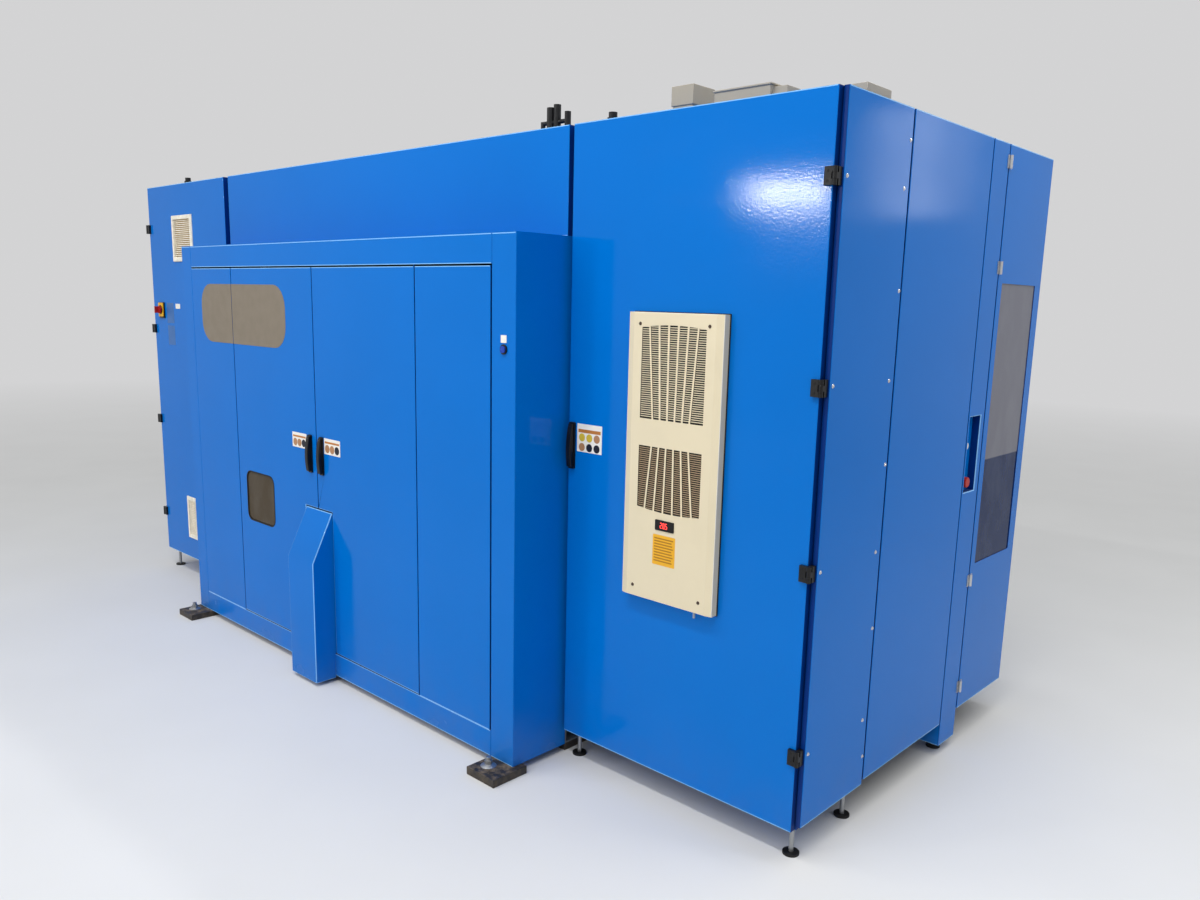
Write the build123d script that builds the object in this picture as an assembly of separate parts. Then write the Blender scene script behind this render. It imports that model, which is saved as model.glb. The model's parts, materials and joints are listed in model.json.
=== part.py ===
from build123d import *
import math
import os

# Panel bender, millimetres, +Z up.
# The pieces are drawn from the near corner of the right cabinet door:
# x runs along the service face (negative to the left), y runs into the machine, z = 0 is the floor.
# At the end everything is shifted so that the origin is the bottom centre of the bounding box.

# Sheet metal, folds and clearances
sheet = 3.0
fold_r = 3.0
panel_depth = 24.0
end_panel_depth = 17.0
seat_gap = 2.0
leaf_gap = 4.5
frame_gap = 7.0
slide_gap = 0.3
pin_fit = 0.05

# Heights
top_z = 2300.0
bay_bottom_z = 30.0
bay_top_z = 1932.0
bay_opening_bottom_z = 131.0
bay_opening_top_z = 1829.0
right_cabinet_bottom_z = 106.0
left_cabinet_bottom_z = 120.0
end_front_bottom_z = 121.0
end_middle_bottom_z = 134.0
end_post_bottom_z = 42.0
end_door_bottom_z = 152.0

# Widths along the service face, from the right corner to the left
corner_gap = 5.0
right_door_width = 1002.0
right_groove_width = 22.0
rear_wall_width = 2512.0
left_groove_width = 51.0
left_door_width = 971.0
right_door_x1 = -corner_gap
right_door_x0 = right_door_x1 - right_door_width
rear_wall_x1 = right_door_x0 - right_groove_width
rear_wall_x0 = rear_wall_x1 - rear_wall_width
left_door_x1 = rear_wall_x0 - left_groove_width
left_door_x0 = left_door_x1 - left_door_width
right_case_x1 = 0.0
left_case_x0 = left_door_x0 - corner_gap
end_x0 = right_case_x1
end_x1 = right_case_x1 + end_panel_depth
left_end_x0 = left_case_x0 - end_panel_depth
mid_x = (rear_wall_x0 + rear_wall_x1) / 2

# Depths of the end face, from the service face to the operator side
end_front_y0 = 19.0
cabinet_depth = 410.0
end_seam = 8.0
end_middle_width = 611.0
post_seam = 7.0
end_post_width = 142.0
end_door_width = 446.0
end_middle_y0 = cabinet_depth + end_seam
end_middle_y1 = end_middle_y0 + end_middle_width
end_post_y0 = end_middle_y1 + post_seam
end_post_y1 = end_post_y0 + end_post_width
end_door_y0 = end_post_y1 + end_seam
machine_y1 = end_door_y0 + end_door_width
operator_y0 = machine_y1 - panel_depth
rear_beam_y1 = operator_y0

# Service bay that stands out from the service face
bay_proud = 240.0
bay_left_overhang = 42.0
bay_right_overhang = 2.0
left_stile_width = 102.0
right_stile_width = 124.0
left_panel_width = 421.0
right_panel_width = 444.0
bay_y0 = -bay_proud
bay_back_y = bay_y0 + panel_depth
bay_x0 = rear_wall_x0 - bay_left_overhang
bay_x1 = rear_wall_x1 + bay_right_overhang
opening_x0 = bay_x0 + left_stile_width
opening_x1 = bay_x1 - right_stile_width
left_seam_x = opening_x0 + left_panel_width
right_seam_x = opening_x1 - right_panel_width
meeting_x = (left_seam_x + right_seam_x) / 2
stop_lip = 15.0
strip_y = panel_depth + seat_gap

# Leaves of the service bay
leaf_pin_r = 4.0
leaf_pin_inset = 10.0
leaf_pin_y = bay_y0 + 10.0
left_leaf_pin_x = left_seam_x + leaf_gap / 2 + leaf_pin_inset
right_leaf_pin_x = right_seam_x - leaf_gap / 2 - leaf_pin_inset
window_inset = 77.0
window_x0 = left_seam_x + window_inset
window_width = 263.0
window_z0 = 619.0
window_height = 241.0
window_corner_r = 38.0
window_lap = 15.0
pane_t = 5.0

# Floor hood in front of the bay
hood_offset = 99.5
hood_x0 = meeting_x - hood_offset
hood_width = 209.0
hood_proud = 99.0
hood_bottom_z = 18.0
hood_front_top_z = 564.0
hood_back_top_z = 773.0
notch_gap = 6.0
closing_lap = 18.0

# Swing handles
lever_width = 28.0
lever_height = 168.0
dish_proud = 8.0
lever_proud = 17.0
lever_end_r = 6.0
leaf_lever_z0 = 935.0
leaf_lever_offset = 33.0
door_lever_z0 = 1118.0
door_lever_inset = 7.0

# Cabinet door hinges
door_hinge_heights = (356.0, 938.0, 1484.0, 2063.0)
door_hinge_height = 50.0
door_knuckle_r = 7.0
door_hinge_leaf = 22.0
hinge_pin_r = 2.5
hinge_gap = 0.4
hinge_out_x = 4.0
hinge_out_y = 8.0
door_hinge_swing = hinge_out_y + hinge_gap
right_hinge_x = right_case_x1 + hinge_out_x
left_hinge_x = left_case_x0 - hinge_out_x
hinge_y = -hinge_out_y

# End door hinges, pane and window
end_hinge_heights = (247.0, 683.0, 1867.0, 2238.0)
end_hinge_height = 46.0
end_knuckle_r = 6.0
end_leaf_t = 3.0
end_leaf_width = 16.0
end_hinge_swing = end_knuckle_r + slide_gap + hinge_gap
end_window_inset = 39.0
end_window_y0 = end_door_y0 + end_window_inset
end_window_width = 344.0
end_window_z0 = 742.0
end_window_height = 1071.0
end_window_corner_r = 6.0
end_hinge_x = end_panel_depth + end_knuckle_r + slide_gap
end_hinge_y = end_post_y1 + end_seam / 2

# Recess and buttons
post_depth = 100.0
recess_inset = 10.0
recess_y0 = end_post_y0 + recess_inset
recess_width = 100.0
recess_z0 = 1045.0
recess_height = 283.0
recess_depth = 30.0
recess_floor_x = end_panel_depth - recess_depth
recess_mid_y = recess_y0 + recess_width / 2
button_r = 12.0
button_proud = 9.0
button_tail = 12.0
bezel_r = 17.0
bezel_t = 5.0
bay_button_inset = 58.0
bay_button_x = bay_x1 - bay_button_inset
bay_button_z = 1542.0
post_button_rise = 169.0
stop_button_rise = 33.0
post_button_z = recess_z0 + post_button_rise
stop_button_z = recess_z0 + stop_button_rise
stop_cap_r = 20.0
stop_cap_t = 13.0
stop_stem_r = 8.0
stop_gap = 6.0
stop_bezel_r = 22.0

# Cooling unit on the right door
cooler_offset = 303.0
cooler_x0 = right_door_x0 + cooler_offset
cooler_width = 382.0
cooler_z0 = 731.0
cooler_height = 950.0
cooler_proud = 36.0
bevel_width = 25.0
bevel_depth = 6.0
cooler_sheet = 2.5
cooler_x1 = cooler_x0 + cooler_width
cooler_z1 = cooler_z0 + cooler_height
cooler_mid_x = (cooler_x0 + cooler_x1) / 2
grille_width = 259.0
grille_wide_end = 39.5
grille_narrow_end = 30.0
grille_bar = 7.0
upper_grille_rise = 608.0
upper_grille_z0 = cooler_z0 + upper_grille_rise
upper_grille_height = 294.0
lower_grille_rise = 313.0
lower_grille_z0 = cooler_z0 + lower_grille_rise
lower_grille_height = 205.0
grille_crown = 9.0
slat_pitch = 7.0
slat_height = 2.7
slat_t = 2.0
slat_lap = 3.0
cooler_inset = 18.0
cooler_back_y = 150.0
cooler_front_y = -12.0
fan_pocket_r = 118.0
fan_pocket_depth = 70.0
fan_hub_r = 38.0
fan_hub_t = 34.0
fan_tip_r = 110.0
lower_fan_share = 0.8
fan_blades = 7
fan_blade_t = 3.0
fan_blade_chord = 34.0
fan_blade_pitch = 32.0
fan_shaft_r = 8.0
display_width = 78.0
display_height = 35.0
display_proud = 3.0
display_offset = 8.0
display_rise = 263.0
display_mid_x = cooler_mid_x - display_offset
display_mid_z = cooler_z0 + display_rise
drain_inset = 78.0
drain_x = cooler_x1 - drain_inset
drain_r = 4.0
drain_length = 24.0

# Vents and main switch on the left door
vent_offset = 322.0
vent_x0 = left_door_x0 + vent_offset
vent_size = 255.0
vent_z = (245.0, 1874.0)
vent_proud = 8.0
vent_border = 11.0
vent_blades = 20
vent_blade_share = 0.5
vent_body_depth = 40.0
switch_offset = 118.0
switch_x = left_door_x0 + switch_offset
switch_z = 1598.0
switch_width = 60.0
switch_height = 80.0
switch_t = 12.0
knob_r = 21.0
knob_t = 14.0
grip_width = 11.0
grip_height = 20.0
knob_shaft_r = 5.0
knob_shaft = 30.0
grip_reach = 19.0

# Base frame, uprights, feet
beam = 100.0
beam_wall = 6.0
upright = 60.0
upright_wall = 4.0
front_beam_y0 = 30.0
apron_lap = 40.0
plate_t = 30.0
plate_width = 150.0
plate_depth = 160.0
plate_proud = 115.0
right_plate_inset = 27.0
left_plate_inset = 7.0
anchor_r = 10.0
anchor_height = 34.0
anchor_nut_r = 15.0
anchor_nut_t = 14.0
anchor_washer_r = 30.0
anchor_washer_t = 8.0
anchor_inset_x = 100.0
anchor_inset_y = 62.0
foot_disc_r = 27.0
foot_disc_t = 8.0
foot_rod_r = 8.0
foot_nut_r = 13.0
foot_nut_t = 10.0
foot_inset = 32.0
rear_foot_inset = 350.0

# Press frame and tools
press_clearance = 76.0
press_half = rear_wall_width / 2 - press_clearance
side_plate_t = 80.0
side_y0 = 150.0
side_y1 = 1300.0
side_z1 = 2200.0
bend_y = 850.0
sheet_z = 950.0
bed_setback = 12.0
bed_drop = 70.0
throat_height = 450.0
throat_y0 = bend_y + bed_setback
throat_z0 = sheet_z - bed_drop
throat_z1 = throat_z0 + throat_height
throat_r = 60.0
base_top_z = bay_bottom_z + beam
inner_half = press_half - side_plate_t / 2
rail_t = 30.0
rail_width = 100.0
tool_gap = 2.0
holder_half = inner_half - rail_t - slide_gap
crown_setback = 50.0
crown_depth = 340.0
crown_y0 = bend_y + crown_setback
crown_y1 = crown_y0 + crown_depth
crown_z0 = 1850.0
crown_z1 = 2150.0
blank_travel = 108.0
tool_length = 100.0
blank_height = 400.0
tool_tip_z = sheet_z + tool_gap
blank_z0 = tool_tip_z + tool_length
blank_z1 = blank_z0 + blank_height
tool_nose = 14.0
tool_width = 104.0
tool_segments = 10
tool_segment_gap = 2.0
cylinder_r = 85.0
barrel_length = 250.0
cylinder_z0 = crown_z0 - barrel_length
rod_r = 35.0
rod_clearance = 5.0
rod_top_z = crown_z0 - rod_clearance - blank_travel
cylinder_spread = 700.0
blade_web_y0 = 340.0
blade_web_t = 120.0
blade_reach = 90.0
blade_arm_y1 = bend_y - blade_reach
blade_travel = 168.0
blade_tip_gap = 80.0
blade_mouth_half = 230.0
blade_arm_t = 160.0
blade_rest_z = sheet_z - blade_travel / 2
blade_holder_z0 = blade_rest_z - blade_mouth_half - blade_arm_t
blade_holder_z1 = blade_rest_z + blade_mouth_half + blade_arm_t
blade_root = 60.0
blade_edge = 8.0
lift_r = 70.0
lift_rod_r = 30.0
lift_y = blade_web_y0 + blade_web_t / 2
lift_height = 310.0
lift_z0 = base_top_z + plate_t
lift_z1 = lift_z0 + lift_height
lift_rod_z0 = lift_z0 + rod_clearance
tie_t = 100.0
tie_height = 200.0
tie_heights = (300.0, 1500.0)
counter_width = 81.0
bed_deck_y0 = bend_y + counter_width

# Work table and sheet manipulator on the operator side
table_inset = 41.0
table_x0 = rear_wall_x0 + table_inset
table_x1 = rear_wall_x1 - table_inset
table_y0 = side_y1
deck_z1 = sheet_z - tool_gap
deck_t = 28.0
slot_half = 60.0
leg = 80.0
leg_inset = 90.0
track_half = 100.0
track_z0 = 560.0
track_z1 = 700.0
carriage_travel = 600.0
carriage_stop = 150.0
carriage_y = side_y1 + carriage_stop + carriage_travel
carriage_half = 52.0
carriage_base = 80.0
carriage_reach = 350.0
column_depth = 120.0
track_y1 = carriage_y + carriage_reach + column_depth
table_step = 20.0
table_y1 = track_y1 - table_step
arm_nose = 70.0
turn_r = 55.0
turn_t = 48.0
pedestal_r = 45.0
clamp_r = 90.0
clamp_t = 20.0
clamp_travel = 58.0
clamp_rod_r = 22.0
clamp_room = 140.0
arm_t = 120.0
arm_z0 = sheet_z + tool_gap + clamp_t + clamp_travel + clamp_room
arm_z1 = arm_z0 + arm_t
fascia_bottom_z = 1370.0
apron_top_z = 900.0
apron_gap = 160.0

# Electrical cabinets
frame_lip = 30.0
gear_plate_margin = 60.0
gear_stand = 17.0
gear_plate_t = 3.0
module_depth = 120.0
duct_depth = 60.0
duct_height = 50.0
module_low_gap = 70.0
module_high_gap = 30.0
module_share = 5 / 6
right_rows = (3, 10, 8, 12)
left_rows = (4, 3, 9, 12)

# Things on the roof: boxes and the air unit are placed from the right groove, glands from the doors
box_lid = 6.0
lid_lap = 4.0
box_y0 = 200.0
tall_box_x0 = right_door_x0 + 264.0
tall_box_width = 84.0
tall_box_depth = 110.0
tall_box_body = 56.0
tall_box_height = 113.0
wide_box_x0 = right_door_x0 + 435.0
wide_box_width = 214.0
wide_box_depth = 130.0
wide_box_height = 79.0
side_box_width = 51.0
side_box_inset = 15.0
side_box_depth = 85.0
side_box_height = 74.0
corner_box_inset = 60.0
corner_box_width = 150.0
corner_box_y0 = 256.0
corner_box_height = 58.0
air_x0 = rear_wall_x1 - 379.0
air_width = 161.0
air_base = 20.0
air_y0 = 200.0
air_bowls = ((13.0, 9.0, 76.0), (56.0, 16.0, 124.0), (90.0, 14.0, 132.0), (146.0, 12.0, 102.0))
air_pipe_r = 8.0
air_pipe_z = 70.0
gland_places = ((left_door_x0 + 330.0, 100.0), (right_door_x0 + 67.0, 120.0))
gland_flange_r = 22.0
gland_flange_t = 14.0
gland_nut_r = 20.0
gland_nut_t = 16.0
gland_neck_r = 15.0
gland_neck = 18.0

pieces = {}


def keep(name, *solids):
    """Remember one named piece, or one group of separate solids."""
    pieces[name] = Compound(children=list(solids))


def block(x0, x1, y0, y1, z0, z1):
    """A rectangular solid between two opposite corners."""
    middle = Pos((x0 + x1) / 2, (y0 + y1) / 2, (z0 + z1) / 2)
    return middle * Box(x1 - x0, y1 - y0, z1 - z0)


def rod_z(x, y, r, z0, z1):
    """A round bar that stands upright."""
    return Pos(x, y, (z0 + z1) / 2) * Cylinder(r, z1 - z0)


def rod_y(x, z, r, y0, y1):
    """A round bar along y."""
    return Pos(x, (y0 + y1) / 2, z) * Rot(90, 0, 0) * Cylinder(r, y1 - y0)


def rod_x(y, z, r, x0, x1):
    """A round bar along x."""
    return Pos((x0 + x1) / 2, y, z) * Rot(0, 90, 0) * Cylinder(r, x1 - x0)


def folded_panel(x0, x1, y0, y1, z0, z1, opens):
    """A folded sheet panel: a skin whose returned edges open to one side."""
    axis = Axis.Y if opens.endswith("Y") else Axis.X
    shell = block(x0, x1, y0, y1, z0, z1)
    upright_edges = shell.edges().filter_by(Axis.Z).sort_by(axis)
    skin_edges = upright_edges[:2] if opens[0] == "+" else upright_edges[-2:]
    shell = fillet(skin_edges, fold_r)
    low = [x0 + sheet, y0 + sheet, z0 + sheet]
    high = [x1 - sheet, y1 - sheet, z1 - sheet]
    way = 1 if opens.endswith("Y") else 0
    if opens[0] == "+":
        high[way] += 2 * sheet
    else:
        low[way] -= 2 * sheet
    return shell - block(low[0], high[0], low[1], high[1], low[2], high[2])


def hollow_beam(x0, x1, y0, y1, z0, z1, along, wall):
    """A rectangular hollow section that is open at both ends."""
    grow = {"X": (1, -1, -1), "Y": (-1, 1, -1), "Z": (-1, -1, 1)}[along]
    inner = block(
        x0 - grow[0] * wall, x1 + grow[0] * wall,
        y0 - grow[1] * wall, y1 + grow[1] * wall,
        z0 - grow[2] * wall, z1 + grow[2] * wall,
    )
    return block(x0, x1, y0, y1, z0, z1) - inner


def rounded_plate_y(x0, x1, z0, z1, y0, y1, corner):
    """A plate with round corners that faces along y."""
    middle = Pos((x0 + x1) / 2, y0, (z0 + z1) / 2)
    outline = middle * Rot(-90, 0, 0) * RectangleRounded(x1 - x0, z1 - z0, corner)
    return extrude(outline, y1 - y0, dir=(0, 1, 0))


def rounded_plate_x(y0, y1, z0, z1, x0, x1, corner):
    """A plate with round corners that faces along x."""
    middle = Pos(x0, (y0 + y1) / 2, (z0 + z1) / 2)
    outline = middle * Rot(0, 90, 0) * RectangleRounded(z1 - z0, y1 - y0, corner)
    return extrude(outline, x1 - x0, dir=(1, 0, 0))


def profile_along_x(points, x0, x1):
    """A solid with one y-z outline, from x0 to x1."""
    outline = make_face(Polyline([(x0, y, z) for y, z in points], close=True))
    return extrude(outline, x1 - x0, dir=(1, 0, 0))


def profile_along_z(points, z0, z1):
    """A solid with one x-y outline, from z0 to z1."""
    outline = make_face(Polyline([(x, y, z0) for x, y in points], close=True))
    return extrude(outline, z1 - z0, dir=(0, 0, 1))


def hinge(x, y, mid_z, height, knuckle_r, swing_r, fixed_leaf, moving_leaf):
    """A three-knuckle hinge on an upright pin: its fixed half with the pin, and its moving half."""
    z0 = mid_z - height / 2
    z1 = mid_z + height / 2
    low = z0 + height / 3
    high = z1 - height / 3

    def room(lower, upper):
        """The space round the pin that one half leaves to the other."""
        return block(x - swing_r, x + swing_r, y - swing_r, y + swing_r, lower, upper)

    fixed = block(*fixed_leaf, z0, z1) - room(z0, low) - room(high, z1)
    fixed += rod_z(x, y, knuckle_r, low, high)
    fixed += rod_z(x, y, hinge_pin_r, z0, z1)
    moving = block(*moving_leaf, z0, z1) - room(low - hinge_gap, high + hinge_gap)
    for lower, upper in ((z0, low - hinge_gap), (high + hinge_gap, z1)):
        moving += rod_z(x, y, knuckle_r, lower, upper)
    return fixed, moving - rod_z(x, y, hinge_pin_r + pin_fit, z0, z1)


def handle_dish(x0, z0, face_y):
    """The flat housing that a swing handle lies against."""
    return rounded_plate_y(
        x0, x0 + lever_width, z0, z0 + lever_height, face_y - dish_proud, face_y, lever_end_r
    )


def lever_pin_height(z0):
    """The height of a swing handle's pin."""
    return z0 + 2 * lever_end_r


def lever_pin_y(face_y):
    """The depth of a swing handle's pin in front of its door."""
    return face_y - dish_proud - slide_gap - lever_end_r


def swing_lever(x0, z0, face_y):
    """A swing handle that is bowed outward, with a round lower end about its pin."""
    back = face_y - dish_proud - slide_gap
    pin_y = lever_pin_y(face_y)
    pin_z = lever_pin_height(z0)
    top = z0 + lever_height - lever_end_r
    bow = face_y - dish_proud - lever_proud
    side = x0 + lever_end_r / 2
    edge = Polyline((side, back, pin_z), (side, back, top), (side, pin_y, top))
    nose = (side, pin_y - lever_end_r, pin_z)
    front = ThreePointArc((side, pin_y, top), (side, bow, (pin_z + top) / 2), nose)
    foot = ThreePointArc(nose, (side, pin_y, pin_z - lever_end_r), (side, back, pin_z))
    face = make_face([edge, front, foot])
    return extrude(face, lever_width - lever_end_r, dir=(1, 0, 0))


def base_frame():
    """The welded base: beams under the press, outriggers and corner uprights."""
    solids = []
    z0 = bay_bottom_z
    z1 = base_top_z
    rear_y0 = rear_beam_y1 - beam
    for y0 in (front_beam_y0, rear_y0):
        solids.append(hollow_beam(rear_wall_x0, rear_wall_x1, y0, y0 + beam, z0, z1, "X", beam_wall))
    for side in (-1, 1):
        x = mid_x + side * press_half
        solids.append(
            hollow_beam(x - beam / 2, x + beam / 2, front_beam_y0 + beam, rear_y0, z0, z1, "Y", beam_wall)
        )
    inner_x = end_x1 - panel_depth - seat_gap
    lefts = (left_case_x0, left_case_x0)
    rights = (right_case_x1 - upright, inner_x - upright)
    for x0, y0 in zip(rights + lefts, (cabinet_depth, operator_y0 - upright) * 2):
        post = hollow_beam(x0, x0 + upright, y0, y0 + upright, z1 + upright, top_z - sheet, "Z", upright_wall)
        solids.append(post)
    for x0, x1 in ((rear_wall_x1 - upright, inner_x), (left_case_x0, rear_wall_x0 + upright)):
        solids.append(
            hollow_beam(x0, x1, operator_y0 - upright, operator_y0, z1, z1 + upright, "X", upright_wall)
        )
    return solids


def foot_plates():
    """Thick floor plates: two in front of the bay with anchor holes, four under the beams."""
    solids = []
    front_y = bay_y0 - plate_proud
    right_x0 = bay_x1 + right_plate_inset - plate_width
    left_x0 = bay_x0 - left_plate_inset
    for x0 in (right_x0, left_x0):
        hole_x = x0 + plate_width - anchor_inset_x
        plate = block(x0, x0 + plate_width, front_y, front_y + plate_depth, 0, plate_t)
        solids.append(plate - rod_z(hole_x, front_y + anchor_inset_y, anchor_r + slide_gap, 0, plate_t))
    for side in (-1, 1):
        x0 = mid_x + side * press_half - plate_width / 2
        for y0 in (front_beam_y0, rear_beam_y1 - plate_depth):
            solids.append(block(x0, x0 + plate_width, y0, y0 + plate_depth, 0, bay_bottom_z))
    return solids


def anchor_bolt(x, y):
    """An anchor stud with its nut and domed washer, one solid."""
    stud = rod_z(x, y, anchor_r, 0, plate_t + anchor_height)
    washer = Pos(x, y, plate_t + anchor_washer_t / 2) * Cone(anchor_washer_r, anchor_nut_r, anchor_washer_t)
    nut = Pos(x, y, plate_t + anchor_washer_t) * extrude(RegularPolygon(anchor_nut_r, 6), anchor_nut_t)
    return stud + washer + nut


def levelling_foot(x, y, carried_z):
    """A floor disc, threaded rod and lock nut under one corner, one solid."""
    foot = rod_z(x, y, foot_disc_r, 0, foot_disc_t)
    foot += rod_z(x, y, foot_rod_r, foot_disc_t, carried_z)
    nut = Pos(x, y, carried_z - foot_nut_t) * extrude(RegularPolygon(foot_nut_r, 6), foot_nut_t)
    return foot + nut


def feet():
    """Every levelling foot and both anchor bolts."""
    solids = []
    front_y = bay_y0 - plate_proud + anchor_inset_y
    for x0 in (bay_x1 + right_plate_inset, bay_x0 - left_plate_inset + plate_width):
        solids.append(anchor_bolt(x0 - anchor_inset_x, front_y))
    first_y = panel_depth + foot_inset
    last_y = cabinet_depth - foot_inset
    for y in (first_y, last_y):
        for x in (right_case_x1 - foot_inset, right_door_x0 + foot_inset):
            solids.append(levelling_foot(x, y, right_cabinet_bottom_z))
        for x in (left_case_x0 + foot_inset, left_door_x1 - foot_inset):
            solids.append(levelling_foot(x, y, left_cabinet_bottom_z))
    rear_y = machine_y1 - panel_depth - upright / 2
    for x in (right_case_x1 - rear_foot_inset, left_case_x0 + rear_foot_inset):
        solids.append(levelling_foot(x, rear_y, base_top_z))
    post_y = (end_post_y0 + end_post_y1) / 2
    solids.append(levelling_foot(end_panel_depth - post_depth / 2, post_y, end_post_bottom_z))
    return solids


def cabinet_case(x0, x1, z0, front_x0, front_x1):
    """An open-fronted sheet case with a narrow lip round its mouth."""
    front = panel_depth + seat_gap
    lip_y = front + sheet
    back = cabinet_depth
    inner0 = x0 + sheet
    inner1 = x1 - sheet
    solids = [
        block(x0, inner0, front, back, z0, top_z),
        block(inner1, x1, front, back, z0, top_z),
        block(inner0, inner1, back - sheet, back, z0, top_z),
        block(inner0, inner1, front, back - sheet, z0, z0 + sheet),
        block(inner0, inner1, front, back - sheet, top_z - sheet, top_z),
        block(inner0, front_x0 + frame_lip, front, lip_y, z0 + sheet, top_z - sheet),
        block(front_x1 - frame_lip, inner1, front, lip_y, z0 + sheet, top_z - sheet),
    ]
    for low in (z0 + sheet, top_z - sheet - frame_lip):
        solids.append(block(front_x0 + frame_lip, front_x1 - frame_lip, front, lip_y, low, low + frame_lip))
    return solids


def gear_board(x0, x1, z0, rows):
    """A mounting plate with cable ducts and rows of modules, on four stand-offs, one solid."""
    back = cabinet_depth - sheet
    plate_y1 = back - gear_stand
    plate_y0 = plate_y1 - gear_plate_t
    z1 = top_z - gear_plate_margin
    board = block(x0, x1, plate_y0, plate_y1, z0, z1)
    for x in (x0 + duct_height, x1 - duct_height):
        for z in (z0 + duct_height, z1 - duct_height):
            board += rod_y(x, z, gear_stand / 2, plate_y1, back)
    pitch = (z1 - z0) / len(rows)
    for row, count in enumerate(rows):
        low = z0 + row * pitch
        duct_y0 = plate_y0 - duct_depth
        board += block(x0 + duct_height, x1 - duct_height, duct_y0, plate_y0, low, low + duct_height)
        width = (x1 - x0 - 2 * duct_height) / count
        gap = width * (1 - module_share) / 2
        depth = module_depth if count < 6 else module_depth / 2
        for place in range(count):
            left = x0 + duct_height + place * width
            board += block(
                left + gap, left + width - gap, plate_y0 - depth, plate_y0,
                low + module_low_gap, low + pitch - module_high_gap,
            )
    return board


def bay_corner(x0, x1, wall_x0, lip_x0):
    """One corner of the bay: its folded stile, the side wall behind it and the stop lip."""
    stile = folded_panel(x0, x1, bay_y0, bay_back_y, bay_bottom_z, bay_top_z - sheet, "+Y")
    lip_x1 = lip_x0 + stop_lip + sheet
    stile += block(lip_x0, lip_x1, bay_back_y, bay_back_y + sheet, bay_opening_bottom_z, bay_opening_top_z)
    return stile, block(wall_x0, wall_x0 + sheet, bay_back_y, strip_y, bay_bottom_z, bay_top_z - sheet)


def bay_rail(z0, z1, bore_z0):
    """A folded rail across the bay's front, with bores for the leaf pins in one flange."""
    rail = folded_panel(opening_x0, opening_x1, bay_y0, bay_back_y, z0, z1, "+Y")
    for x in (left_leaf_pin_x, right_leaf_pin_x):
        rail -= rod_z(x, leaf_pin_y, leaf_pin_r + pin_fit, bore_z0, bore_z0 + sheet)
    return rail


def leaf(x0, x1, pin_x, lever_x0, notch_x0, notch_x1):
    """A folded leaf with a notch round the hood, pivot pins and its handle dish."""
    z0 = bay_opening_bottom_z + leaf_gap
    z1 = bay_opening_top_z - frame_gap
    shape = folded_panel(x0, x1, bay_y0, bay_back_y, z0, z1, "+Y")
    notch_z1 = hood_back_top_z + notch_gap
    edge = block(notch_x0 - sheet, notch_x1 + sheet, bay_y0, bay_back_y, z0, notch_z1 + sheet)
    edge = edge & block(x0, x1, bay_y0, bay_back_y, z0, z1)
    shape = shape + edge - block(notch_x0, notch_x1, bay_y0, bay_back_y, z0, notch_z1)
    shape += handle_dish(lever_x0, leaf_lever_z0, bay_y0)
    for low, high in ((z0 - leaf_gap - sheet, z0 + sheet), (z1 - sheet, z1 + frame_gap + sheet)):
        shape += rod_z(pin_x, leaf_pin_y, leaf_pin_r, low, high)
    return shape


def floor_hood():
    """The sloped sheet hood that reaches from the bay down to the floor, and its closing plate."""
    x1 = hood_x0 + hood_width
    front = bay_y0 - hood_proud
    step = bay_opening_bottom_z + leaf_gap
    outline = [
        (front, hood_bottom_z), (bay_y0, hood_bottom_z), (bay_y0, step), (bay_back_y, step),
        (bay_back_y, hood_back_top_z), (bay_y0, hood_back_top_z), (front, hood_front_top_z),
    ]
    slope = (hood_back_top_z - hood_front_top_z) / hood_proud
    inner_top = hood_back_top_z - sheet
    cavity = [
        (front + sheet, hood_bottom_z + sheet), (bay_y0 - sheet, hood_bottom_z + sheet),
        (bay_y0 - sheet, step + sheet), (bay_back_y, step + sheet), (bay_back_y, inner_top),
        (bay_y0, inner_top - sheet), (front + sheet, hood_front_top_z + slope * sheet - 2 * sheet * slope),
    ]
    hood = profile_along_x(outline, hood_x0, x1) - profile_along_x(cavity, hood_x0 + sheet, x1 - sheet)
    plate_z1 = hood_back_top_z + closing_lap
    plate = block(hood_x0 - closing_lap, x1 + closing_lap, bay_back_y, bay_back_y + sheet, step, plate_z1)
    return hood, plate


def end_post():
    """The post between the end panels and the end door, with the button recess."""
    x1 = end_panel_depth
    x0 = x1 - post_depth
    post = block(x0, x1, end_post_y0, end_post_y1, end_post_bottom_z, top_z)
    post = fillet(post.edges().filter_by(Axis.Z).sort_by(Axis.X)[-2:], fold_r)
    y1 = recess_y0 + recess_width
    z1 = recess_z0 + recess_height
    inner_y = (end_post_y0 + sheet, end_post_y1 - sheet)
    post -= block(x0 + sheet, x1 - sheet, *inner_y, end_post_bottom_z + sheet, recess_z0 - sheet)
    post -= block(x0 + sheet, x1 - sheet, *inner_y, z1 + sheet, top_z - sheet)
    post -= block(x0 + sheet, recess_floor_x - sheet, *inner_y, recess_z0 - sheet, z1 + sheet)
    post -= block(recess_floor_x, x1, recess_y0, y1, recess_z0, z1)
    for z, r in ((post_button_z, button_r), (stop_button_z, stop_stem_r)):
        post -= rod_x(recess_mid_y, z, r + slide_gap, recess_floor_x - sheet, recess_floor_x)
    return post


def button_ring(r, hole_r):
    """A bezel ring with its back at z = 0."""
    ring = Cylinder(r, bezel_t, align=(Align.CENTER, Align.CENTER, Align.MIN))
    return ring - Cylinder(hole_r, bezel_t, align=(Align.CENTER, Align.CENTER, Align.MIN))


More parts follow.
